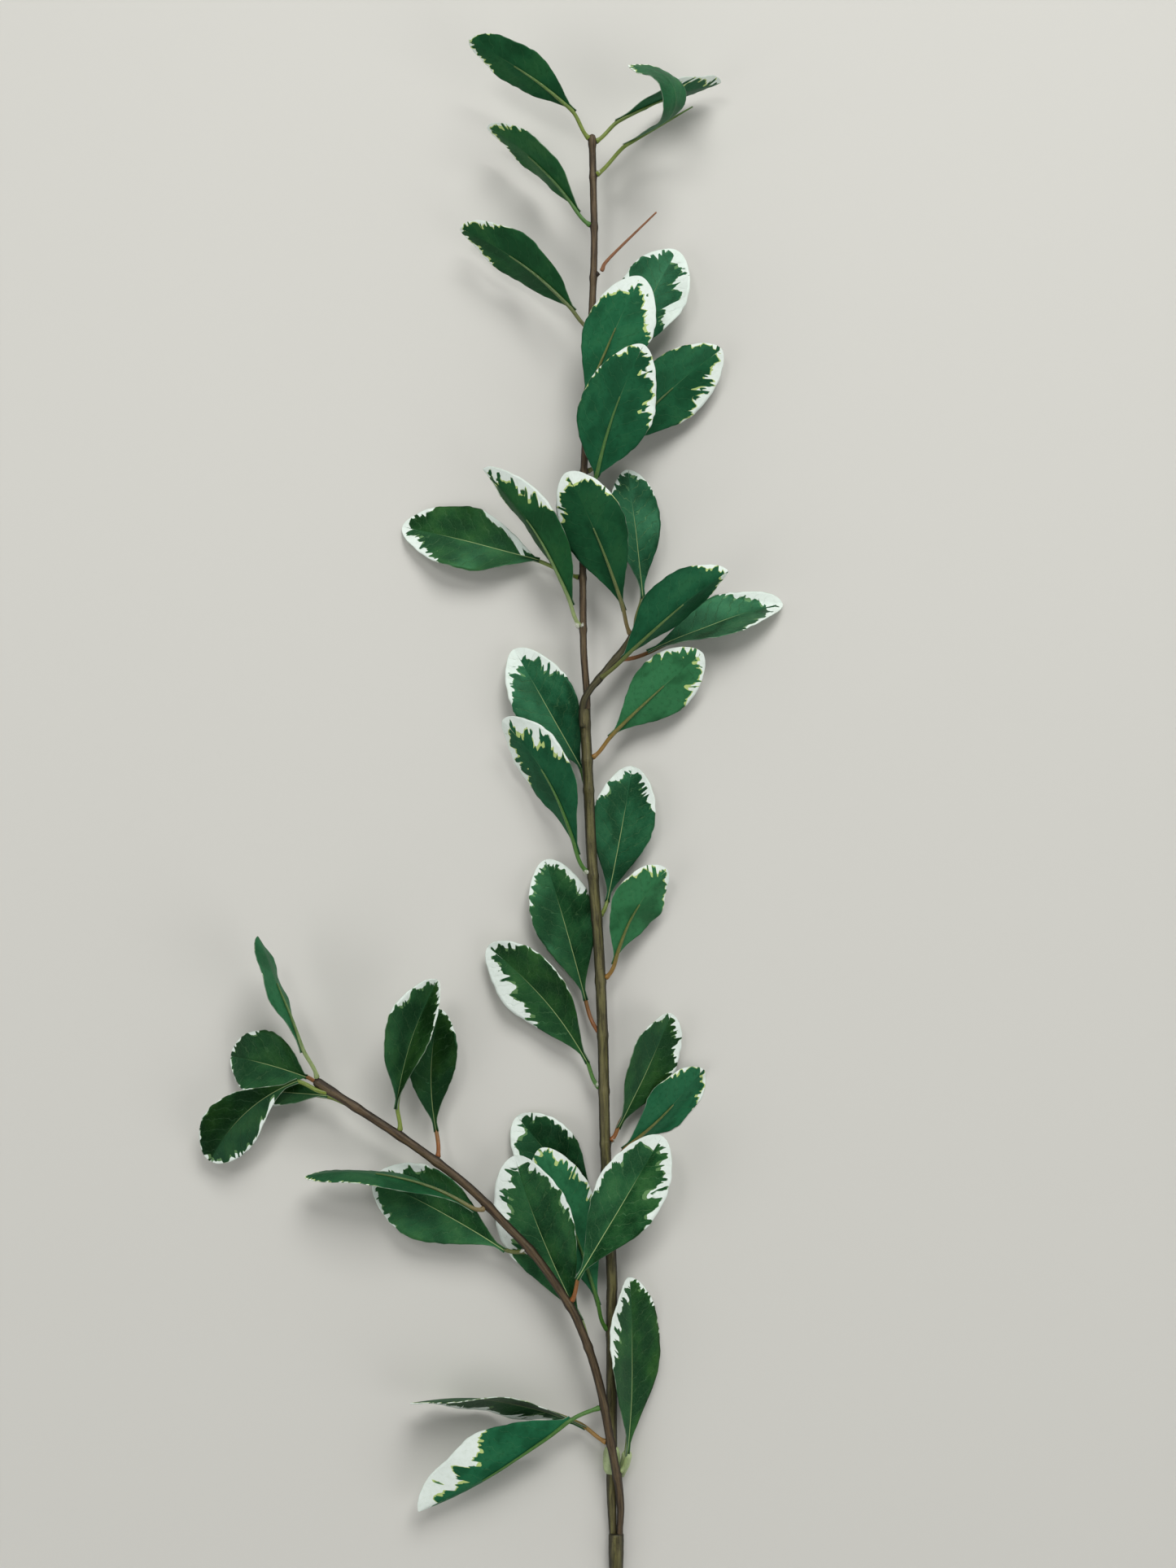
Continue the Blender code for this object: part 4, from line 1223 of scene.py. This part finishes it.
class LeafLooks(bpy.types.PropertyGroup):
    """Sizes and colours of the leaves and their stalks."""

    blade_thickness: length_setting(
        "Blade thickness", "How thick a printed blade is", 0.00036, 0.0001, 0.0007
    )
    wave: length_setting(
        "Edge wave", "How far a blade's edge waves up and down", 0.0007, 0.0, 0.003
    )
    glue_size: length_setting("Glue size", "Radius of a drop of set glue", 0.001, 0.0002, 0.004)
    front_warm: colour_setting(
        "Front, warm", "Green of a warm leaf's front", (0.015, 0.062, 0.010)
    )
    front_cool: colour_setting(
        "Front, cool", "Green of a cool leaf's front", (0.012, 0.088, 0.038)
    )
    back_warm: colour_setting("Back, warm", "Green of a warm leaf's back", (0.012, 0.073, 0.019))
    back_cool: colour_setting("Back, cool", "Green of a cool leaf's back", (0.011, 0.096, 0.044))
    back_light: colour_setting("Back, light", "Green of the lightest back", (0.032, 0.15, 0.055))
    white: colour_setting("Margin", "White of the ragged margin", (0.80, 0.87, 0.81))
    fringe_front: colour_setting(
        "Fringe, front", "Pale green beside the margin on the front", (0.20, 0.36, 0.14)
    )
    fringe_back: colour_setting(
        "Fringe, back", "Cream beside the margin on the back", (0.52, 0.64, 0.22)
    )
    midrib: colour_setting("Midrib", "Pale line along the middle", (0.40, 0.52, 0.22))


class StemLooks(bpy.types.PropertyGroup):
    """Sizes and colours of the stems."""

    stem_sides: IntProperty(
        name="Sides", description="Faces round a stem", default=20, min=8, max=48,
    )
    stem_bumps: length_setting(
        "Bumps", "How far a stem's surface is uneven", 0.00025, 0.0, 0.001
    )
    olive_light: colour_setting(
        "Olive, light", "Lighter streaks of the olive stems", (0.145, 0.134, 0.045)
    )
    olive_dark: colour_setting(
        "Olive, dark", "Darker streaks of the olive stems", (0.034, 0.029, 0.008)
    )
    brown_light: colour_setting(
        "Brown, light", "Lighter streaks of the brown stems", (0.14, 0.092, 0.043)
    )
    brown_dark: colour_setting(
        "Brown, dark", "Darker streaks of the brown stems", (0.034, 0.020, 0.008)
    )
    scuff: colour_setting("Scuffs", "Pale worn places on the stems", (0.17, 0.14, 0.07))


class StageLooks(bpy.types.PropertyGroup):
    """The floor, the lights and the camera."""

    floor_colour: colour_setting("Floor", "Colour of the plain floor", (0.66, 0.65, 0.60))
    key_power: power_setting("Key light", "Power of the large soft light", 55.0)
    fill_power: power_setting("Fill lights", "Power of each fill light", 12.0)
    sheen_power: power_setting(
        "Sheen light", "Power of the small light that glosses the leaves", 4.0
    )
    sky: FloatProperty(
        name="Sky", description="Strength of the soft light from all round", default=0.8, min=0.0,
    )
    camera_height: FloatProperty(
        name="Camera height", description="Height of the camera over the floor", default=0.8972,
        min=0.1, unit="LENGTH",
    )
    camera_tilt: FloatProperty(
        name="Camera tilt", description="Tilt of the camera towards the top leaves",
        default=math.radians(4.376), subtype="ANGLE",
    )
    view_angle: FloatProperty(
        name="View angle", description="Upright field of view", default=math.radians(45.0),
        subtype="ANGLE",
    )


# Operators

class SPRAY_OT_stems(bpy.types.Operator):
    """Build the foot, the four stems and their pegs"""

    bl_idname = "spray.stems"
    bl_label = "Stems"

    def execute(self, context):
        looks = context.scene.spray_stems
        olive = bark("bark_olive", looks.olive_light, looks.olive_dark, looks.scuff)
        brown = bark("bark_brown", looks.brown_light, looks.brown_dark, looks.scuff)
        build_foot(olive, looks)
        for stem, node, material, slot in (
            ("main", "main_stem", olive, "bark_olive"),
            ("twig", "twig", olive, "bark_olive"),
            ("upper", "upper_stem", brown, "bark_brown"),
            ("side", "side_branch", brown, "bark_brown"),
        ):
            build_stem(stem, node, material, looks, slot)
            build_pegs(stem, material, slot)
        return {"FINISHED"}


class SPRAY_OT_bare_stalk(bpy.types.Operator):
    """Build the stalk that has no blade, and the pale collar round the main stem"""

    bl_idname = "spray.bare_stalk"
    bl_label = "Bare stalk"

    def execute(self, context):
        moulding = material_of("moulded_stalk", moulded)
        build_bare_stalk(moulding)
        build_collar(moulding)
        return {"FINISHED"}


class SPRAY_OT_glue(bpy.types.Operator):
    """Build the drops of set glue"""

    bl_idname = "spray.glue"
    bl_label = "Glue"

    def execute(self, context):
        build_glue(material_of("glue", glue_drop), context.scene.spray_leaves)
        return {"FINISHED"}


class SPRAY_OT_leaves(bpy.types.Operator):
    """Build the leaves of one stem"""

    bl_idname = "spray.leaves"
    bl_label = "Leaves"

    stem: EnumProperty(
        name="Stem", description="The stem whose leaves are built",
        items=[(key, key.title(), "Leaves of the %s stem" % key) for key in CURVES],
    )

    def execute(self, context):
        looks = context.scene.spray_leaves
        blade = material_of("leaf_print", leaf_print, looks)
        stalk = material_of("moulded_stalk", moulded)
        for leaf in LEAVES:
            if leaf.stem == self.stem:
                build_leaf(leaf, looks, blade, stalk)
        return {"FINISHED"}


class SPRAY_OT_stage(bpy.types.Operator):
    """Build the floor, the lights and the camera"""

    bl_idname = "spray.stage"
    bl_label = "Stage"

    def execute(self, context):
        looks = context.scene.spray_stage
        scene = context.scene
        bpy.ops.mesh.primitive_plane_add(size=FLOOR_SIZE, location=(0, 0, 0))
        floor = context.object
        floor.name = "floor"
        floor.data.materials.append(floor_paint(looks.floor_colour))
        for name, place, target_y, size, power in LIGHTS:
            add_light(name, place, (0.0, target_y, 0.0), size, getattr(looks, power))
        scene.world = soft_sky(looks.sky)
        scene.view_settings.view_transform = "Standard"
        lens = bpy.data.cameras.new("camera")
        lens.sensor_fit = "VERTICAL"
        lens.angle = looks.view_angle
        camera = placed("camera", lens)
        camera.location = (*CAMERA_PLACE, looks.camera_height)
        camera.rotation_euler = (looks.camera_tilt, 0.0, 0.0)
        scene.camera = camera
        return {"FINISHED"}


class SPRAY_PT_panel(bpy.types.Panel):
    """Buttons for the pieces of the spray"""

    bl_label = "Pittosporum spray"
    bl_idname = "SPRAY_PT_panel"
    bl_space_type = "VIEW_3D"
    bl_region_type = "UI"
    bl_category = "Spray"

    def draw(self, context):
        column = self.layout.column()
        for operator in (SPRAY_OT_stems, SPRAY_OT_bare_stalk, SPRAY_OT_glue):
            column.operator(operator.bl_idname)
        for stem in CURVES:
            column.operator(SPRAY_OT_leaves.bl_idname, text=stem.title() + " leaves").stem = stem
        column.operator(SPRAY_OT_stage.bl_idname)


CLASSES = (
    LeafLooks, StemLooks, StageLooks, SPRAY_OT_stems, SPRAY_OT_bare_stalk, SPRAY_OT_glue,
    SPRAY_OT_leaves, SPRAY_OT_stage, SPRAY_PT_panel,
)


def register():
    for cls in CLASSES:
        bpy.utils.register_class(cls)
    bpy.types.Scene.spray_leaves = PointerProperty(type=LeafLooks)
    bpy.types.Scene.spray_stems = PointerProperty(type=StemLooks)
    bpy.types.Scene.spray_stage = PointerProperty(type=StageLooks)


def unregister():
    del bpy.types.Scene.spray_stage
    del bpy.types.Scene.spray_stems
    del bpy.types.Scene.spray_leaves
    for cls in reversed(CLASSES):
        bpy.utils.unregister_class(cls)


def main():
    register()
    bpy.ops.spray.stems()
    bpy.ops.spray.bare_stalk()
    bpy.ops.spray.glue()
    for stem in CURVES:
        bpy.ops.spray.leaves(stem=stem)
    bpy.ops.spray.stage()


if __name__ == "__main__":
    main()
